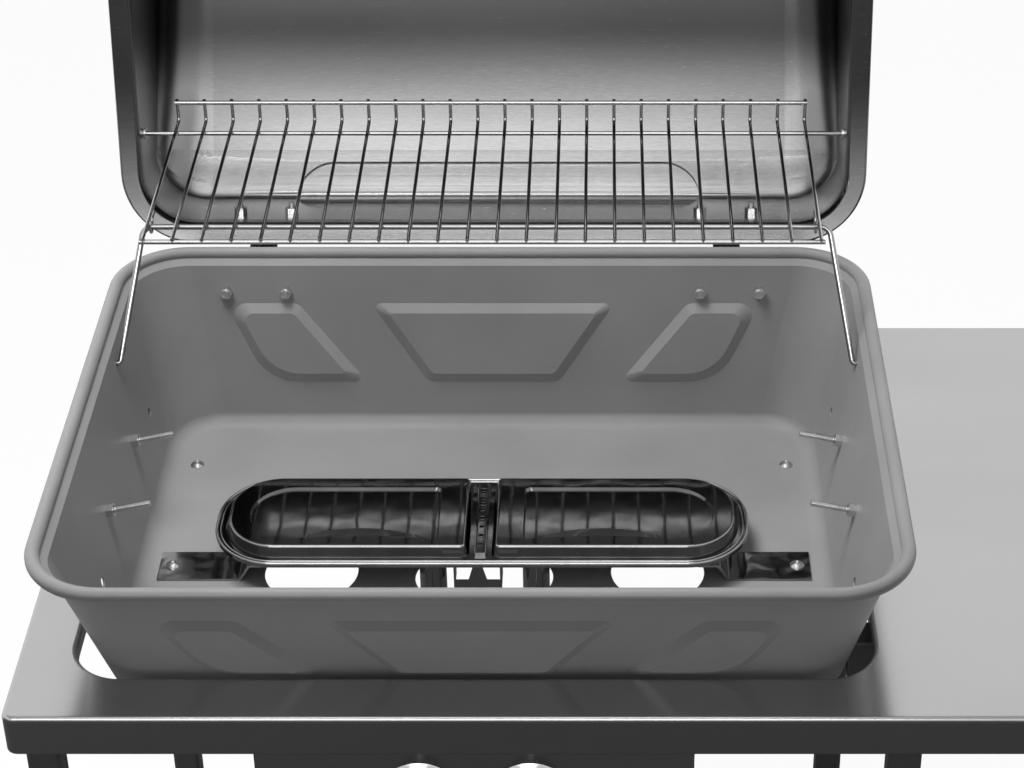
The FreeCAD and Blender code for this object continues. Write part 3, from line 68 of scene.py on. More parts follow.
# Spread of the brushed steel's highlights along its grain
deck_spread, lid_spread = 0.5, 0.15

# The lid's shading: the bend of its wall below a height, then the shade and highlight painted into its
# colour by height, by the distance aside from its middle, and by the depth from its mouth, all in metres
lid_crown, lid_flat_from = 1.2, 1.04
wall_start, wall_end, wall_dark = 0.925, 1.015, 0.13
roof_start, roof_end, roof_bright = 1.04, 1.14, 0.75
side_start, side_end, side_dark = 0.255, 0.29, 0.6
flange_start, flange_end, flange_dark = -0.046, -0.042, 0.45
foot_start, foot_end, foot_bright = 0.016, 0.021, 1.95
inner_edge = 0.03

MM = 0.001

# Places in the grill, in millimetres from the middle of the firebox's rim
hinge_y, hinge_z, lid_angle = 257.0, -24.0, 102.0
side_draft, end_draft = math.radians(12), math.radians(17)
wall_top_x, wall_top_y, wall_top_z = 309.0, 229.0, -12.0
burner_x, burner_y, burner_z = -2.5, 8.0, -124.0
burner_half_x, burner_half_y, burner_corner = 218.0, 59.0, 52.0
side_bolts = ((-47.0, -73.0), (61.0, -81.0))
hinge_x, lower_spacing, upper_spacing = 206.7, 51.8, 46.0
lower_bolt_z, upper_bolt_y, upper_bolt_z = -34.5, 230.0, 33.0
nut_high, side_nut_high = 5.0, 6.0
rack_x, rack_count, rack_pitch, rack_z = -2.5, 24, 24.15, 73.0
venturi_x, gas_z, panel_y = 42.0, -200.0, -234.0
leg_x, leg_front_y, leg_back_y, rail_z = 323.0, -222.0, 252.0, -123.75
floor_z, wheel_z = -910.0, -835.0

box_low, box_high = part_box("firebox")
rim_centre = Vector(((box_low[0] + box_high[0]) / 2, (box_low[1] + box_high[1]) / 2, box_high[2]))


class Graph:
    """Short calls for building one material's nodes."""

    def __init__(self, name):
        self.material = bpy.data.materials.new(name)
        self.material.use_nodes = True
        self.tree = self.material.node_tree
        self.shader = self.tree.nodes["Principled BSDF"]

    def add(self, kind, **values):
        node = self.tree.nodes.new(kind)
        for key, value in values.items():
            if key in node.inputs:
                node.inputs[key].default_value = value
            else:
                setattr(node, key, value)
        return node

    def join(self, source, target):
        self.tree.links.new(source, target)

    def coordinates(self, scale):
        where = self.add("ShaderNodeTexCoord")
        stretch = self.add("ShaderNodeMapping", Scale=scale)
        self.join(where.outputs["Object"], stretch.inputs["Vector"])
        return stretch.outputs["Vector"]

    def noise(self, scale, detail=4.0, stretch=(1, 1, 1), roughness=0.5):
        texture = self.add("ShaderNodeTexNoise", Scale=scale, Detail=detail, Roughness=roughness)
        self.join(self.coordinates(stretch), texture.inputs["Vector"])
        return texture.outputs["Fac"]

    def ramp(self, factor, low, high, start=0.3, end=0.7):
        ramp = self.add("ShaderNodeValToRGB")
        first, last = ramp.color_ramp.elements
        first.position, last.position = start, end
        first.color, last.color = grey(low), grey(high)
        self.join(factor, ramp.inputs["Fac"])
        return ramp.outputs["Color"]

    def span(self, factor, low, high):
        mapping = self.add("ShaderNodeMapRange")
        mapping.inputs["To Min"].default_value = low
        mapping.inputs["To Max"].default_value = high
        self.join(factor, mapping.inputs["Value"])
        return mapping.outputs["Result"]

    def bump(self, height, strength, distance):
        bump = self.add("ShaderNodeBump", Strength=strength, Distance=distance)
        self.join(height, bump.inputs["Height"])
        self.join(bump.outputs["Normal"], self.shader.inputs["Normal"])
        return bump

    def axes(self):
        """X, Y and Z of the shaded point and of its normal, in the object's own frame."""
        where = self.add("ShaderNodeTexCoord")
        spot, facing = self.add("ShaderNodeSeparateXYZ"), self.add("ShaderNodeSeparateXYZ")
        self.join(where.outputs["Object"], spot.inputs[0])
        self.join(where.outputs["Normal"], facing.inputs[0])
        return spot.outputs, facing.outputs


def smooth(tree, amount, start, end, low, high):
    """A soft step from low to high while the amount goes from start to end."""
    ramp = tree.nodes.new("ShaderNodeMapRange")
    ramp.interpolation_type = "SMOOTHSTEP"
    for label, value in (("From Min", start), ("From Max", end), ("To Min", low), ("To Max", high)):
        ramp.inputs[label].default_value = value
    tree.links.new(amount, ramp.inputs["Value"])
    return ramp.outputs["Result"]


def combine(tree, operation, first, second):
    """One step of arithmetic; the second value is a socket or a plain number."""
    both = tree.nodes.new("ShaderNodeMath")
    both.operation = operation
    tree.links.new(first, both.inputs[0])
    if isinstance(second, float):
        both.inputs[1].default_value = second
    else:
        tree.links.new(second, both.inputs[1])
    return both.outputs[0]


def grey(value):
    """A colour with full cover, from one brightness or from three shares."""
    if isinstance(value, (tuple, list)):
        return (*value, 1.0)
    return (value, value, value, 1.0)


def paint(name, low, high, roughness, speckle=700.0):
    """Sprayed satin paint: a faint mottle and a fine orange peel."""
    g = Graph(name)
    g.join(g.ramp(g.noise(9.0, 3.0), low, high), g.shader.inputs["Base Color"])
    g.join(g.span(g.noise(40.0, 3.0), roughness - 0.05, roughness + 0.05), g.shader.inputs["Roughness"])
    g.bump(g.noise(speckle, 2.0), 0.12, 0.0002)
    return g.material


def crown(g):
    """The broad bend of the lid's drawn top towards its rear wall, as a slope of its shading."""
    spot, facing = g.axes()
    below = combine(g.tree, "MINIMUM", combine(g.tree, "SUBTRACT", spot["Z"], lid_flat_from), 0.0)
    slope = combine(g.tree, "MULTIPLY", facing["Y"], -lid_crown)
    return combine(g.tree, "MULTIPLY", combine(g.tree, "MULTIPLY", below, below), slope)


def inner_shade(g):
    """Painted shade and highlight: the share of its brightness that the lid's steel keeps; only its inside and
    its flange change.

    It stands in for reflections that this light doesn't give, so it is fixed to the lid and is the same
    from every side.
    """
    tree = g.tree
    spot, facing = g.axes()

    def into_lid(axes):
        """The part of a vector that points straight into the open lid."""
        ahead = combine(tree, "MULTIPLY", axes["Y"], math.sin(math.radians(lid_angle)))
        up = combine(tree, "MULTIPLY", axes["Z"], math.cos(math.radians(lid_angle)))
        return combine(tree, "ADD", ahead, up)

    def blend(factor, plain, other):
        mix = g.add("ShaderNodeMix", data_type="FLOAT")
        mix.inputs["A"].default_value = plain
        g.join(factor, mix.inputs["Factor"])
        g.join(other, mix.inputs["B"])
        return mix.outputs["Result"]

    aside = combine(tree, "ABSOLUTE", combine(tree, "SUBTRACT", spot["X"], rim_centre.x), 0.0)
    depth = into_lid(spot)
    wall = combine(tree, "MAXIMUM", smooth(tree, spot["Z"], wall_start, wall_end, 1.0, wall_dark),
                   smooth(tree, spot["Z"], roof_start, roof_end, 0.0, roof_bright))
    side = smooth(tree, aside, side_start, side_end, 1.0, side_dark)
    foot = smooth(tree, depth, foot_start, foot_end, foot_bright, 1.0)
    deep = combine(tree, "MULTIPLY", combine(tree, "MINIMUM", wall, side), foot)
    shade = blend(smooth(tree, depth, flange_start, flange_end, 0.0, 1.0), flange_dark, deep)
    return blend(smooth(tree, into_lid(facing), -inner_edge, inner_edge, 1.0, 0.0), 1.0, shade)


def brushed(name, low, high, roughness, grain, strength, spread, is_lid=False):
    """Sheet steel with a grain that runs left to right and broad, faint clouds across it."""
    g = Graph(name)
    g.shader.inputs["Metallic"].default_value = 1.0
    g.shader.inputs["Anisotropic"].default_value = spread
    across = g.add("ShaderNodeTangent", direction_type="RADIAL", axis="X")
    g.join(across.outputs["Tangent"], g.shader.inputs["Tangent"])
    grain_fac = g.noise(1.0, 6.0, grain, 0.7)
    cloud = g.noise(5.0, 3.0, (0.6, 1.6, 1.6))
    mottle = combine(g.tree, "ADD", combine(g.tree, "MULTIPLY", cloud, 0.45),
                     combine(g.tree, "MULTIPLY", grain_fac, 0.55))
    colour = g.ramp(mottle, low, high)
    # On the lid, inner_shade paints shade and highlight into the colour
    if is_lid:
        dimmed = g.add("ShaderNodeVectorMath", operation="SCALE")
        g.join(colour, dimmed.inputs[0])
        g.join(inner_shade(g), dimmed.inputs["Scale"])
        colour = dimmed.outputs[0]
    g.join(colour, g.shader.inputs["Base Color"])
    fine = g.noise(1.0, 4.0, tuple(v * 0.5 for v in grain), 0.6)
    g.join(g.span(fine, roughness - 0.06, roughness + 0.06), g.shader.inputs["Roughness"])
    ripple = g.bump(grain_fac, strength, 0.0001)
    if is_lid:
        bulge = g.add("ShaderNodeBump", Strength=1.0, Distance=1.0)
        g.join(crown(g), bulge.inputs["Height"])
        g.join(bulge.outputs["Normal"], ripple.inputs["Normal"])
    return g.material


def polished(name, low, high, roughness, scale=60.0, wave=0.0):
    """Bright metal with faint smears, and with a slow waviness where the sheet was pressed."""
    g = Graph(name)
    g.shader.inputs["Metallic"].default_value = 1.0
    g.join(g.ramp(g.noise(scale, 3.0), low, high), g.shader.inputs["Base Color"])
    g.join(g.span(g.noise(scale * 0.6, 4.0), roughness * 0.6, roughness * 1.4), g.shader.inputs["Roughness"])
    if wave:
        g.bump(g.noise(38.0, 1.0), 1.0, wave)
    return g.material


def plastic(name, colour, roughness, grain=900.0, strength=0.15):
    """Moulded plastic or rubber with a fine grain."""
    g = Graph(name)
    g.join(g.ramp(g.noise(30.0, 3.0), tuple(c * 0.85 for c in colour), colour), g.shader.inputs["Base Color"])
    g.join(g.span(g.noise(90.0, 2.0), roughness - 0.06, roughness + 0.06), g.shader.inputs["Roughness"])
    g.bump(g.noise(grain, 2.0), strength, 0.0002)
    return g.material


def materials():
    """All finishes; the numbers are darkest and brightest grey, roughness, then grain or speckle.

    The steels' greys are set to the tones of this one view and this light. Those of the burner,
    its brackets, the lid and the rack's bail carry painted shade: darker than real stainless steel and chrome.
    """
    deck_grain, lid_grain = (150.0, 3000.0, 3000.0), (120.0, 1800.0, 1800.0)
    return {
        "grey_paint": paint("satin_grey_paint", 0.31, 0.36, 0.40),
        "frame_paint": paint("dark_grey_powder_coat", 0.08, 0.10, 0.45, 1100.0),
        "brushed_stainless": brushed("brushed_stainless", 0.49, 0.56, 0.22, deck_grain, 0.02, deck_spread),
        # Painted shade and highlight: a darker steel, dimmed and brightened further by inner_shade
        "lid_stainless_painted_shade": brushed("lid_stainless_painted_shade", 0.36, 0.56, 0.25, lid_grain, 0.01, lid_spread, True),
        "polished_stainless": polished("polished_stainless", 0.54, 0.60, 0.06, 60.0, 0.0002),
        # Painted shade: far darker than real stainless, for the dark reflections the burner shows
        "burner_stainless_painted_shade": polished("burner_stainless_painted_shade", 0.13, 0.17, 0.045, 60.0, 0.0001),
        # Painted shade: the brackets' steel darker than real stainless
        "bracket_stainless_painted_shade": polished("bracket_stainless_painted_shade", 0.20, 0.30, 0.10, 60.0, 0.0012),
        "chrome_wire": polished("chrome_wire", 0.46, 0.50, 0.09, 40.0),
        # Painted shade: the same chrome as the rack's wires, made darker for the bail
        "bail_chrome_painted_shade": polished("bail_chrome_painted_shade", 0.33, 0.37, 0.10, 40.0),
        "zinc": polished("zinc_plate", 0.60, 0.68, 0.24, 300.0),
        "cast_aluminium": polished("cast_aluminium", 0.45, 0.52, 0.45, 400.0),
        "brass": polished("machined_brass", (0.58, 0.42, 0.18), (0.68, 0.52, 0.25), 0.25, 200.0),
        "black_plastic": plastic("black_plastic", (0.018, 0.018, 0.019), 0.42),
        "button_plastic": plastic("button_plastic", (0.02, 0.02, 0.02), 0.2, 1500.0, 0.05),
        "black_rubber": plastic("black_rubber", (0.014, 0.014, 0.014), 0.75, 500.0, 0.3),
        "white_ceramic": plastic("white_ceramic", (0.78, 0.77, 0.73), 0.2, 1500.0, 0.05),
        "mark_white": plastic("mark_white", (0.72, 0.72, 0.70), 0.5, 1200.0, 0.08),
    }


# Nodes whose finish differs from what their material slot has: darker copies of their steel or chrome, with
# painted shade
own_finish = {"lid_shell": "lid_stainless_painted_shade", "rack_bail": "bail_chrome_painted_shade",
              "burner_top": "burner_stainless_painted_shade", "burner_port_strip": "burner_stainless_painted_shade",
              "burner_bracket_left": "bracket_stainless_painted_shade", "burner_bracket_right": "bracket_stainless_painted_shade"}


def dress_nodes(finish):
    """Gives each solid of the part its finish."""
    slots = {part["node"]: part["material_slot"] for part in frame["record"]["subparts"]}
    for name, piece in nodes.items():
        piece.data.materials.clear()
        piece.data.materials.append(finish[own_finish.get(name, slots[name])])


def make_camera():
    """The photograph's view."""
    data = bpy.data.cameras.new("camera")
    data.sensor_fit = "HORIZONTAL"
    data.lens = camera_lens
    data.shift_x = camera_shift
    data.clip_end = 100.0
    camera = bpy.data.objects.new("camera", data)
    bpy.context.scene.collection.objects.link(camera)
    camera.location = rim_centre + Vector((camera_right, -camera_ahead, camera_above))
    camera.rotation_euler = (math.radians(90 - camera_pitch), 0, 0)
    bpy.context.scene.camera = camera


def make_lamp(name, place_at, size, power, aim=(0.0, 0.0, 0.0), on_paint=True, in_metal=True):
    """A soft lamp that faces its aim; it lights painted surfaces, shows in metal, or both."""
    data = bpy.data.lights.new(name, "AREA")
    data.shape = "RECTANGLE"
    data.size, data.size_y = size
    data.energy = power
    lamp = bpy.data.objects.new(name, data)
    bpy.context.scene.collection.objects.link(lamp)
    lamp.location = rim_centre + Vector(place_at)
    lamp.rotation_euler = (Vector(place_at) - Vector(aim)).to_track_quat("Z", "Y").to_euler()
    lamp.visible_diffuse, lamp.visible_glossy = on_paint, in_metal


def white_share(tree, share):
    """How much of the white backdrop a ray sees: camera, glossy and transmission rays do."""
    path = tree.nodes.new("ShaderNodeLightPath")
    total = path.outputs["Is Camera Ray"]
    for label in ("Is Glossy Ray", "Is Transmission Ray"):
        total = combine(tree, "MAXIMUM", total, path.outputs[label])
    return combine(tree, "MULTIPLY", total, share), path.outputs["Is Camera Ray"]


def make_world():
    """Soft light all round; the metal sees a white surround, darker overhead and low in front."""
    world = bpy.data.worlds.new("studio")
    bpy.context.scene.world = world
    world.use_nodes = True
    tree = world.node_tree
    plain = tree.nodes["Background"]
    plain.inputs["Color"].default_value = grey(0.95)
    plain.inputs["Strength"].default_value = world_strength
    share, camera_ray = white_share(tree, 1.0)
    where = tree.nodes.new("ShaderNodeTexCoord")
    apart = tree.nodes.new("ShaderNodeSeparateXYZ")
    tree.links.new(where.outputs["Generated"], apart.inputs[0])
    white = tree.nodes.new("ShaderNodeBackground")
    white.inputs["Strength"].default_value = backdrop_strength
    overhead = smooth(tree, apart.outputs["Z"], sky_start, sky_end, 1.0, sky_dark)
    behind = smooth(tree, apart.outputs["Y"], back_start, back_end, 0.0, 1.0)
    above_low = smooth(tree, apart.outputs["Z"], low_start, low_end, low_dark, 1.0)
    seen = combine(tree, "MULTIPLY", overhead, combine(tree, "MAXIMUM", behind, above_low))
    tree.links.new(combine(tree, "MAXIMUM", seen, camera_ray), white.inputs["Color"])
    mix = tree.nodes.new("ShaderNodeMixShader")
    tree.links.new(share, mix.inputs[0])
    tree.links.new(plain.outputs[0], mix.inputs[1])
    tree.links.new(white.outputs[0], mix.inputs[2])
    tree.links.new(mix.outputs[0], tree.nodes["World Output"].inputs["Surface"])


def make_floor():
    """Pale floor; in reflections its glow has a painted shadow close to the grill and painted shade in front of
    it.
    """
    mesh = bpy.data.meshes.new("floor")
    corners = [(x * floor_half, y * floor_half, 0) for x, y in ((-1, -1), (1, -1), (1, 1), (-1, 1))]
    mesh.from_pydata(corners, [], [(0, 1, 2, 3)])
    floor = bpy.data.objects.new("floor", mesh)
    bpy.context.scene.collection.objects.link(floor)
    g = Graph("pale_floor")
    g.shader.inputs["Base Color"].default_value = grey(0.86)
    g.shader.inputs["Roughness"].default_value = 0.9
    share, camera_ray = white_share(g.tree, floor_share)
    where = g.add("ShaderNodeTexCoord")
    length = g.add("ShaderNodeVectorMath", operation="LENGTH")
    g.join(where.outputs["Object"], length.inputs[0])
    apart = g.add("ShaderNodeSeparateXYZ")
    g.join(where.outputs["Object"], apart.inputs[0])
    # Painted shadow of the grill close to it and painted shade in front of it, seen only by glossy and
    # transmission rays; the camera sees plain white
    painted_shadow = smooth(g.tree, length.outputs["Value"], near_start, near_end, near_dark, 1.0)
    behind = smooth(g.tree, apart.outputs["Y"], front_start, front_end, front_dark, 1.0)
    seen = combine(g.tree, "MULTIPLY", painted_shadow, behind)
    glow = g.add("ShaderNodeEmission", Strength=floor_glow)
    g.join(combine(g.tree, "MAXIMUM", seen, camera_ray), glow.inputs["Color"])
    mix = g.add("ShaderNodeMixShader")
    g.join(share, mix.inputs[0])
    g.join(g.shader.outputs[0], mix.inputs[1])
    g.join(glow.outputs[0], mix.inputs[2])
    g.join(mix.outputs[0], g.tree.nodes["Material Output"].inputs["Surface"])
    mesh.materials.append(g.material)


def place(x, y, z):
    """A point given in millimetres from the middle of the firebox's rim."""
    return rim_centre + Vector((x, y, z)) * MM


def opened(x, y, z):
    """A point of the closed lid, at its place on the open lid."""
    a = math.radians(lid_angle)
    dy, dz = y - hinge_y, z - hinge_z
    return place(x, hinge_y + dy * math.cos(a) + dz * math.sin(a), hinge_z - dy * math.sin(a) + dz * math.cos(a))


def tube(bm, points, radius, closed=False, sides=8):
    """Adds a round tube along a line of points; the radius is in millimetres."""
    count = len(points)
    side, rings = None, []
    for i, point in enumerate(points):
        before = points[i - 1] if i or closed else point
        after = points[(i + 1) % count] if i < count - 1 or closed else point
        along = (after - before).normalized()
        side = along.orthogonal() if side is None else side
        side = (side - along * side.dot(along)).normalized()
        up = along.cross(side)
        ring = []
        for k in range(sides):
            angle = 2 * math.pi * k / sides
            ring.append(bm.verts.new(point + (side * math.cos(angle) + up * math.sin(angle)) * radius * MM))
        rings.append(ring)
    for i in range(count if closed else count - 1):
        a, b = rings[i], rings[(i + 1) % count]
        for k in range(sides):
            bm.faces.new((a[k], a[(k + 1) % sides], b[(k + 1) % sides], b[k]))
    if not closed:
        bm.faces.new(list(reversed(rings[0])))
        bm.faces.new(rings[-1])


def lathe(bm, foot, axis, profile, sides=28):
    """Adds a turned shape; the profile is pairs of radius and height in millimetres."""
    axis = Vector(axis).normalized()
    side = axis.orthogonal().normalized()
    up = axis.cross(side)
    rings = []
    for radius, height in profile:
        ring = []
        for k in range(sides):
            angle = 2 * math.pi * k / sides
            out = side * math.cos(angle) + up * math.sin(angle)
            ring.append(bm.verts.new(foot + axis * height * MM + out * radius * MM))
        rings.append(ring)
    for a, b in zip(rings, rings[1:]):
        for k in range(sides):
            bm.faces.new((a[k], a[(k + 1) % sides], b[(k + 1) % sides], b[k]))
    bm.faces.new(list(reversed(rings[0])))
    bm.faces.new(rings[-1])


def blob(bm, point, size):
    """Adds a small flattened bead of weld; its size is in millimetres."""
    shape = Matrix.Translation(point) @ Matrix.Diagonal(Vector((*size, 1))) @ Matrix.Scale(MM, 4)
    bmesh.ops.create_icosphere(bm, subdivisions=2, radius=1.0, matrix=shape)


def round_path(half_x, half_y, radius, point, steps=10):
    """Points of a rounded rectangle; point(x, y) gives each one its place."""
    path = []
    for turn, (sx, sy) in enumerate(((1, 1), (-1, 1), (-1, -1), (1, -1))):
        for k in range(steps + 1):
            angle = math.pi / 2 * (turn + k / steps)
            path.append(point(sx * (half_x - radius) + radius * math.cos(angle),
                              sy * (half_y - radius) + radius * math.sin(angle)))
    return path


def helix(foot, axis, start, end, radius, pitch, steps=12):
    """Points of a thread's crest; lengths are in millimetres."""
    axis = Vector(axis).normalized()
    side = axis.orthogonal().normalized()
    up = axis.cross(side)
    points = []
    for k in range(int((end - start) / pitch * steps) + 1):
        angle = 2 * math.pi * k / steps
        out = side * math.cos(angle) + up * math.sin(angle)
        points.append(foot + axis * (start + pitch * k / steps) * MM + out * radius * MM)
    return points


def add_piece(name, bm, body, material):
    """Turns a mesh under construction into a piece that rides on a body."""
    bmesh.ops.recalc_face_normals(bm, faces=bm.faces)
    mesh = bpy.data.meshes.new(name)
    bm.to_mesh(mesh)
    bm.free()
    for face in mesh.polygons:
        face.use_smooth = len(face.vertices) <= 4
    mesh.materials.append(material)
    piece = bpy.data.objects.new(name, mesh)
    bpy.context.scene.collection.objects.link(piece)
    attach(piece, body)
    return piece


def side_bolt_seats():
    """Foot and axis of each long bolt in the firebox's side walls."""
    for sign in (-1, 1):
        for y, z in side_bolts:
            x = wall_top_x - (wall_top_z - z) * math.tan(side_draft)
            yield place(sign * x, y, z), Vector((-sign * math.cos(side_draft), 0, math.sin(side_draft)))


def lower_bolt_seats():
    """Foot and axis of each hinge bolt in the firebox's rear wall."""
    for sign in (-1, 1):
        for side in (-1, 1):
            y = wall_top_y - (wall_top_z - lower_bolt_z) * math.tan(end_draft)
            yield (place(sign * hinge_x + side * lower_spacing / 2, y, lower_bolt_z),
                   Vector((0, -math.cos(end_draft), math.sin(end_draft))))


def upper_bolt_seats():
    """Foot and axis of each hinge bolt in the lid's rear wall."""
    for sign in (-1, 1):
        for side in (-1, 1):
            x = sign * hinge_x + side * upper_spacing / 2
            seat = opened(x, upper_bolt_y, upper_bolt_z)
            yield seat, (opened(x, upper_bolt_y - 1.0, upper_bolt_z) - seat).normalized()


def make_threads(finish):
    """Rolled threads on the long side bolts and on the hinge bolts' tips."""
    side_radius, hinge_radius, pitch, crest = 2.38, 2.46, 0.8, 0.24
    bm = bmesh.new()
    for seat, axis in side_bolt_seats():
        tube(bm, helix(seat, axis, 7.0, 35.4, side_radius, pitch), crest, sides=5)
    for seat, axis in lower_bolt_seats():
        tube(bm, helix(seat, axis, 5.4, 7.3, hinge_radius, pitch), crest, sides=5)
    add_piece("bolt_threads", bm, "cart", finish["zinc"])
    bm = bmesh.new()
    for seat, axis in upper_bolt_seats():
        tube(bm, helix(seat, axis, 5.4, 9.7, hinge_radius, pitch), crest, sides=5)
    add_piece("lid_bolt_threads", bm, "lid", finish["zinc"])


def make_nut_faces(finish):
    """Turned ring on the outer face of each nut, inside its hexagon.

    The second shape is a short core on the bolt's line. It lies inside the hinge bolts, and it stands
    0.05 mm out of the thinner side bolts, so it adds nothing that can be seen.
    """
    def dress(bm, seat, axis, high):
        lathe(bm, seat, axis, [(3.75, high - 0.1), (3.6, high + 0.3), (3.1, high + 0.3), (2.95, high - 0.1)])
        lathe(bm, seat, axis, [(2.45, high - 0.2), (2.45, high + 1.6), (2.0, high + 2.1), (0.02, high + 2.1)])

    bm = bmesh.new()
    for seat, axis in side_bolt_seats():
        dress(bm, seat, axis, side_nut_high)
    for seat, axis in lower_bolt_seats():
        dress(bm, seat, axis, nut_high)
    add_piece("nut_faces", bm, "cart", finish["zinc"])
    bm = bmesh.new()
    for seat, axis in upper_bolt_seats():
        dress(bm, seat, axis, nut_high)
    add_piece("lid_nut_faces", bm, "lid", finish["zinc"])


def make_rack_welds(finish):
    """Weld beads where the rack's wires cross its two long wires."""
    front_y, front_z, rear_y, rear_z = 129.5, rack_z - 1.5, 336.0 - 1.7, rack_z + 19.5
    bm = bmesh.new()
    for i in range(rack_count):
        x = rack_x + (i - (rack_count - 1) / 2) * rack_pitch
        blob(bm, place(x, front_y, front_z), (1.9, 2.1, 1.7))
        blob(bm, place(x, rear_y, rear_z), (1.8, 1.6, 2.0))
    add_piece("rack_welds", bm, "rack", finish["chrome_wire"])


def make_burner_beads(finish):
    """Rolled bead and crimp groove round the burner's rim, and the seam folds across its middle."""
    seam_half_x, seam_half_y, seam_rise = 4.3, 46.5, Vector((0, 0, 2.7 * MM))
    bm = bmesh.new()

    def on_rim(x, y):
        return place(burner_x + x, burner_y + y, burner_z + 0.1)

    # The rim's beads are in brighter steel than the burner around them: a painted highlight round the rim
    for inset, radius in ((1.5, 1.3), (4.6, 0.8)):
        path = round_path(burner_half_x - inset, burner_half_y - inset, burner_corner - inset, on_rim, 18)
        tube(bm, path, radius, closed=True, sides=10)
    add_piece("burner_rim_beads", bm, "cart", finish["polished_stainless"])
    bm = bmesh.new()
    for side in (-1, 1):
        points = [on_rim(side * seam_half_x, y) + seam_rise for y in (-seam_half_y, 0, seam_half_y)]
        tube(bm, points, 0.5)
    for y in (-29.4, -5.9, 17.6, 41.1):
        points = [on_rim(x, y) + seam_rise for x in (-seam_half_x, 0, seam_half_x)]
        tube(bm, points, 0.45)
    add_piece("burner_seam_folds", bm, "cart", finish["burner_stainless_painted_shade"])


def make_lobe_ends(finish):
    """The lobes' inner ends, drawn closer to the seam between them."""
    lean, rise, bend, proud = 3.5, 10.0, 3.0, 0.06
    near_x, far_x, half_depth, corner = 9.0, 30.0, 50.5, 7.0
    slope = math.atan2(lean, rise)
    reach = bend * math.tan(math.pi / 4 - slope / 2)
    profile = [(0.0, -0.2)]
    for k in range(9):
        angle = math.pi - slope - (math.pi / 2 - slope) * k / 8
        profile.append((lean + reach + bend * math.cos(angle), rise - bend + bend * math.sin(angle)))
    bm = bmesh.new()
    for side in (-1, 1):
        rings = []
        for inset, height in profile:
            half, near, radius = half_depth + proud - inset, near_x - proud + inset, corner - inset
            path = [(far_x, half)]
            for middle, start in ((half - radius, 90), (radius - half, 180)):
                for k in range(7):
                    angle = math.radians(start + 15 * k)
                    path.append((near + radius + radius * math.cos(angle), middle + radius * math.sin(angle)))
            path.append((far_x, -half))
            rings.append([bm.verts.new(place(burner_x + side * x, burner_y + y, burner_z + height + proud))
                          for x, y in path])
        for low, high in zip(rings, rings[1:]):
            for k in range(len(low) - 1):
                bm.faces.new((low[k], low[k + 1], high[k + 1], high[k]))
        bm.faces.new(rings[-1])
    add_piece("lobe_ends", bm, "cart", finish["burner_stainless_painted_shade"])


def make_lobe_beads(finish):
    """Bead along the front of each lobe, round both of its ends, in brighter steel than the lobe: a painted
    highlight along its front edge.
    """
    near_x, far_x, half_depth, height = 13.3, 205.2, 46.2, burner_z + 8.95
    near_turn, far_turn = 2.7, 39.2
    bm = bmesh.new()
    for side in (-1, 1):
        path = [(near_x, 30.0), (near_x, 0.0)]
        for middle, turn, start in ((near_x + near_turn, near_turn, 180), (far_x - far_turn, far_turn, 270)):
            for k in range(10):
                angle = math.radians(start + 10 * k)
                path.append((middle + turn * math.cos(angle), turn - half_depth + turn * math.sin(angle)))
        points = [place(burner_x + side * x, burner_y + y, height) for x, y in path]
        tube(bm, points, 0.9, sides=12)
    add_piece("lobe_beads", bm, "cart", finish["polished_stainless"])


def make_welds(finish):
    """Weld beads where the cross rails meet the leg frames' side rails."""
    half, bend = 12.9, 10
    corners = [(-half, bend), (-half, -bend), (-bend, -half), (bend, -half), (half, -bend), (half, bend)]
    bm = bmesh.new()
    for sign in (-1, 1):
        for y in (leg_front_y, leg_back_y):
            def on_end(u, v, x=sign * (leg_x - half), y=y):
                return place(x, y + u, rail_z + v)
            tube(bm, [on_end(u, v) for u, v in corners], 1.0)
    add_piece("rail_welds", bm, "cart", finish["frame_paint"])


def make_knob_detail(finish):
    """Grip ribs and a pointer line on each knob, and plain tick marks on its bezel."""
    touch, bezel, travel, spare = 0.05, 3.0, 3.0, 0.3
    knob_back = panel_y - touch - bezel - travel - spare
    knob_front = knob_back - 24.0
    rib_count, tick_count, pointer = 30, 9, (7.5, 12, 16.5)
    for name, sign in (("left", -1), ("right", 1)):
        x = sign * venturi_x
        bm = bmesh.new()
        for k in range(rib_count):
            angle = 2 * math.pi * k / rib_count
            out = Vector((math.cos(angle), 0, math.sin(angle)))
            foot = place(x, 0, gas_z)
            tube(bm, [foot + out * 21.7 * MM + Vector((0, (knob_back - 1.2) * MM, 0)),
                      foot + out * 20.6 * MM + Vector((0, (knob_back - 8.6) * MM, 0))], 0.75, sides=6)
        add_piece("knob_ribs_" + name, bm, "knob_" + name, finish["black_plastic"])
        bm = bmesh.new()
        tube(bm, [place(x, knob_front + 0.1, gas_z + up) for up in pointer], 0.7)
        add_piece("knob_pointer_" + name, bm, "knob_" + name, finish["mark_white"])
    bm = bmesh.new()
    for sign in (-1, 1):
        for k in range(tick_count):
            angle = math.pi * (k / (tick_count - 1))
            out = Vector((math.cos(angle), 0, math.sin(angle)))
            foot = place(sign * venturi_x, panel_y - 2.6, gas_z)
            tube(bm, [foot + out * 24.2 * MM, foot + out * 26.4 * MM], 0.5)
    add_piece("bezel_ticks", bm, "cart", finish["black_plastic"])


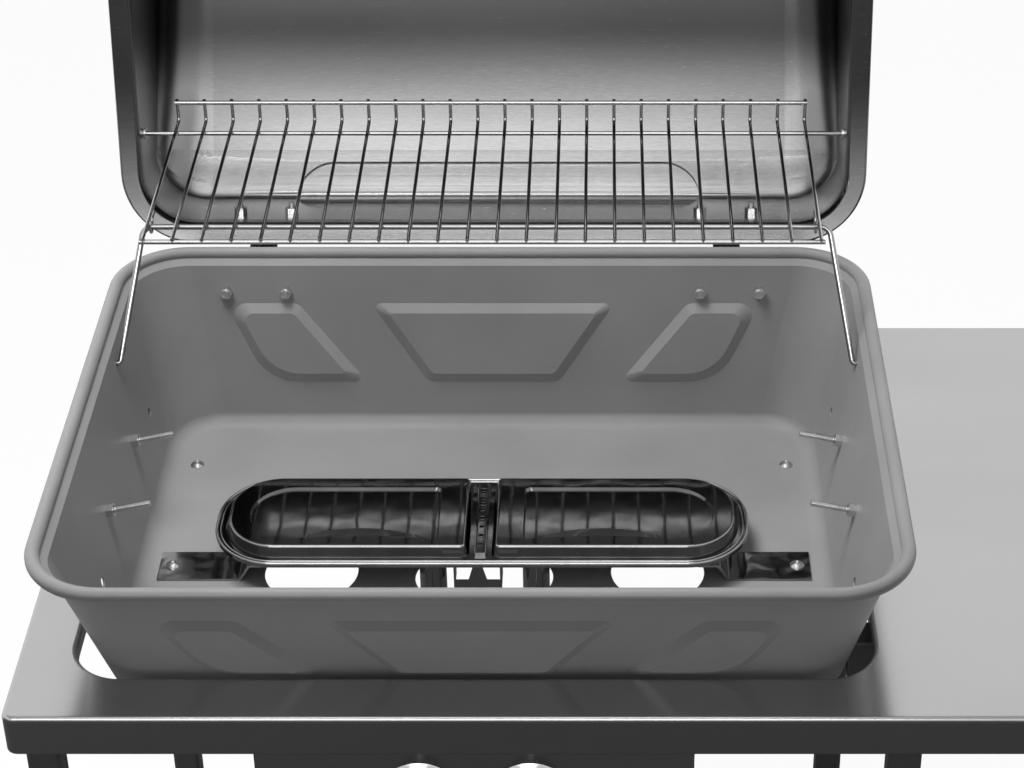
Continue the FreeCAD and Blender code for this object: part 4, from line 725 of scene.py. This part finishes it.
def make_wheel_detail(finish):
    """Raised rings on the tyres' side walls and a dust ring on each hub."""
    def ring(radius, y, steps):
        angles = [2 * math.pi * k / steps for k in range(steps)]
        return [place(leg_x + radius * math.cos(a), y, wheel_z + radius * math.sin(a)) for a in angles]

    hub_radius = 11.5
    for name, near, far in (("front", -268.5, -236.5), ("rear", 266.5, 298.5)):
        bm, hub = bmesh.new(), bmesh.new()
        for y, out in ((near, -1), (far, 1)):
            for radius, deep in ((64.5, 3.75), (68.5, 3.4)):
                tube(bm, ring(radius, y - out * deep, 64), 0.8, closed=True, sides=6)
            tube(hub, ring(hub_radius, y, 32), 0.9, closed=True, sides=6)
        add_piece("tyre_rings_" + name, bm, "wheel_" + name, finish["black_rubber"])
        add_piece("hub_rings_" + name, hub, "wheel_" + name, finish["black_plastic"])


def make_foot_detail(finish):
    """Grip rings round the two foot caps."""
    bm = bmesh.new()
    for y in (leg_front_y, leg_back_y):
        for up, half in ((4.5, 15.2), (8.5, 14.95), (12.5, 14.7)):
            def on_foot(u, v, y=y, up=up):
                return place(-leg_x + u, y + v, floor_z + up)
            tube(bm, round_path(half, half, 6.6, on_foot, 5), 0.7, closed=True, sides=6)
    add_piece("foot_rings", bm, "cart", finish["black_rubber"])


def make_handle_detail(finish):
    """Turned rings at the handle's two ends and beside its posts."""
    bm = bmesh.new()
    bar_y, bar_z = -230 - 1.2 - 46.0, 84.0
    profile = [(10.9, -2.2), (11.35, -1.8), (11.5, 0.0), (11.35, 1.8), (10.9, 2.2)]
    for x in (-203.5, -162.5, 162.5, 203.5):
        lathe(bm, opened(x, bar_y, bar_z), (1, 0, 0), profile, 36)
    add_piece("handle_rings", bm, "lid", finish["polished_stainless"])


def make_port_burrs(finish):
    """Fine punched edges round the burner's ports."""
    bm = bmesh.new()
    port_count, half_y = 7, burner_half_y - 12.05
    for k in range(port_count):
        y = burner_y - half_y + 2 * half_y / (port_count + 1) * (k + 1)

        def on_port(u, v, y=y):
            return place(burner_x + u, y + v, burner_z + 3.0)

        tube(bm, round_path(1.75, 1.75, 0.5, on_port, 3), 0.28, closed=True, sides=6)
    add_piece("port_edges", bm, "cart", finish["burner_stainless_painted_shade"])


finish = materials()
dress_nodes(finish)
make_camera()
make_lamp("overhead", overhead_place, overhead_size, overhead_power, in_metal=False)
make_lamp("overhead_panel", panel_place, panel_size, panel_power, on_paint=False)
make_lamp("key", key_place, key_size, key_power, key_aim, on_paint=False)
make_world()
make_floor()
make_threads(finish)
make_nut_faces(finish)
make_rack_welds(finish)
make_burner_beads(finish)
make_lobe_ends(finish)
make_lobe_beads(finish)
make_port_burrs(finish)
make_welds(finish)
make_knob_detail(finish)
make_wheel_detail(finish)
make_foot_detail(finish)
make_handle_detail(finish)
bpy.context.scene.view_settings.view_transform = "Standard"
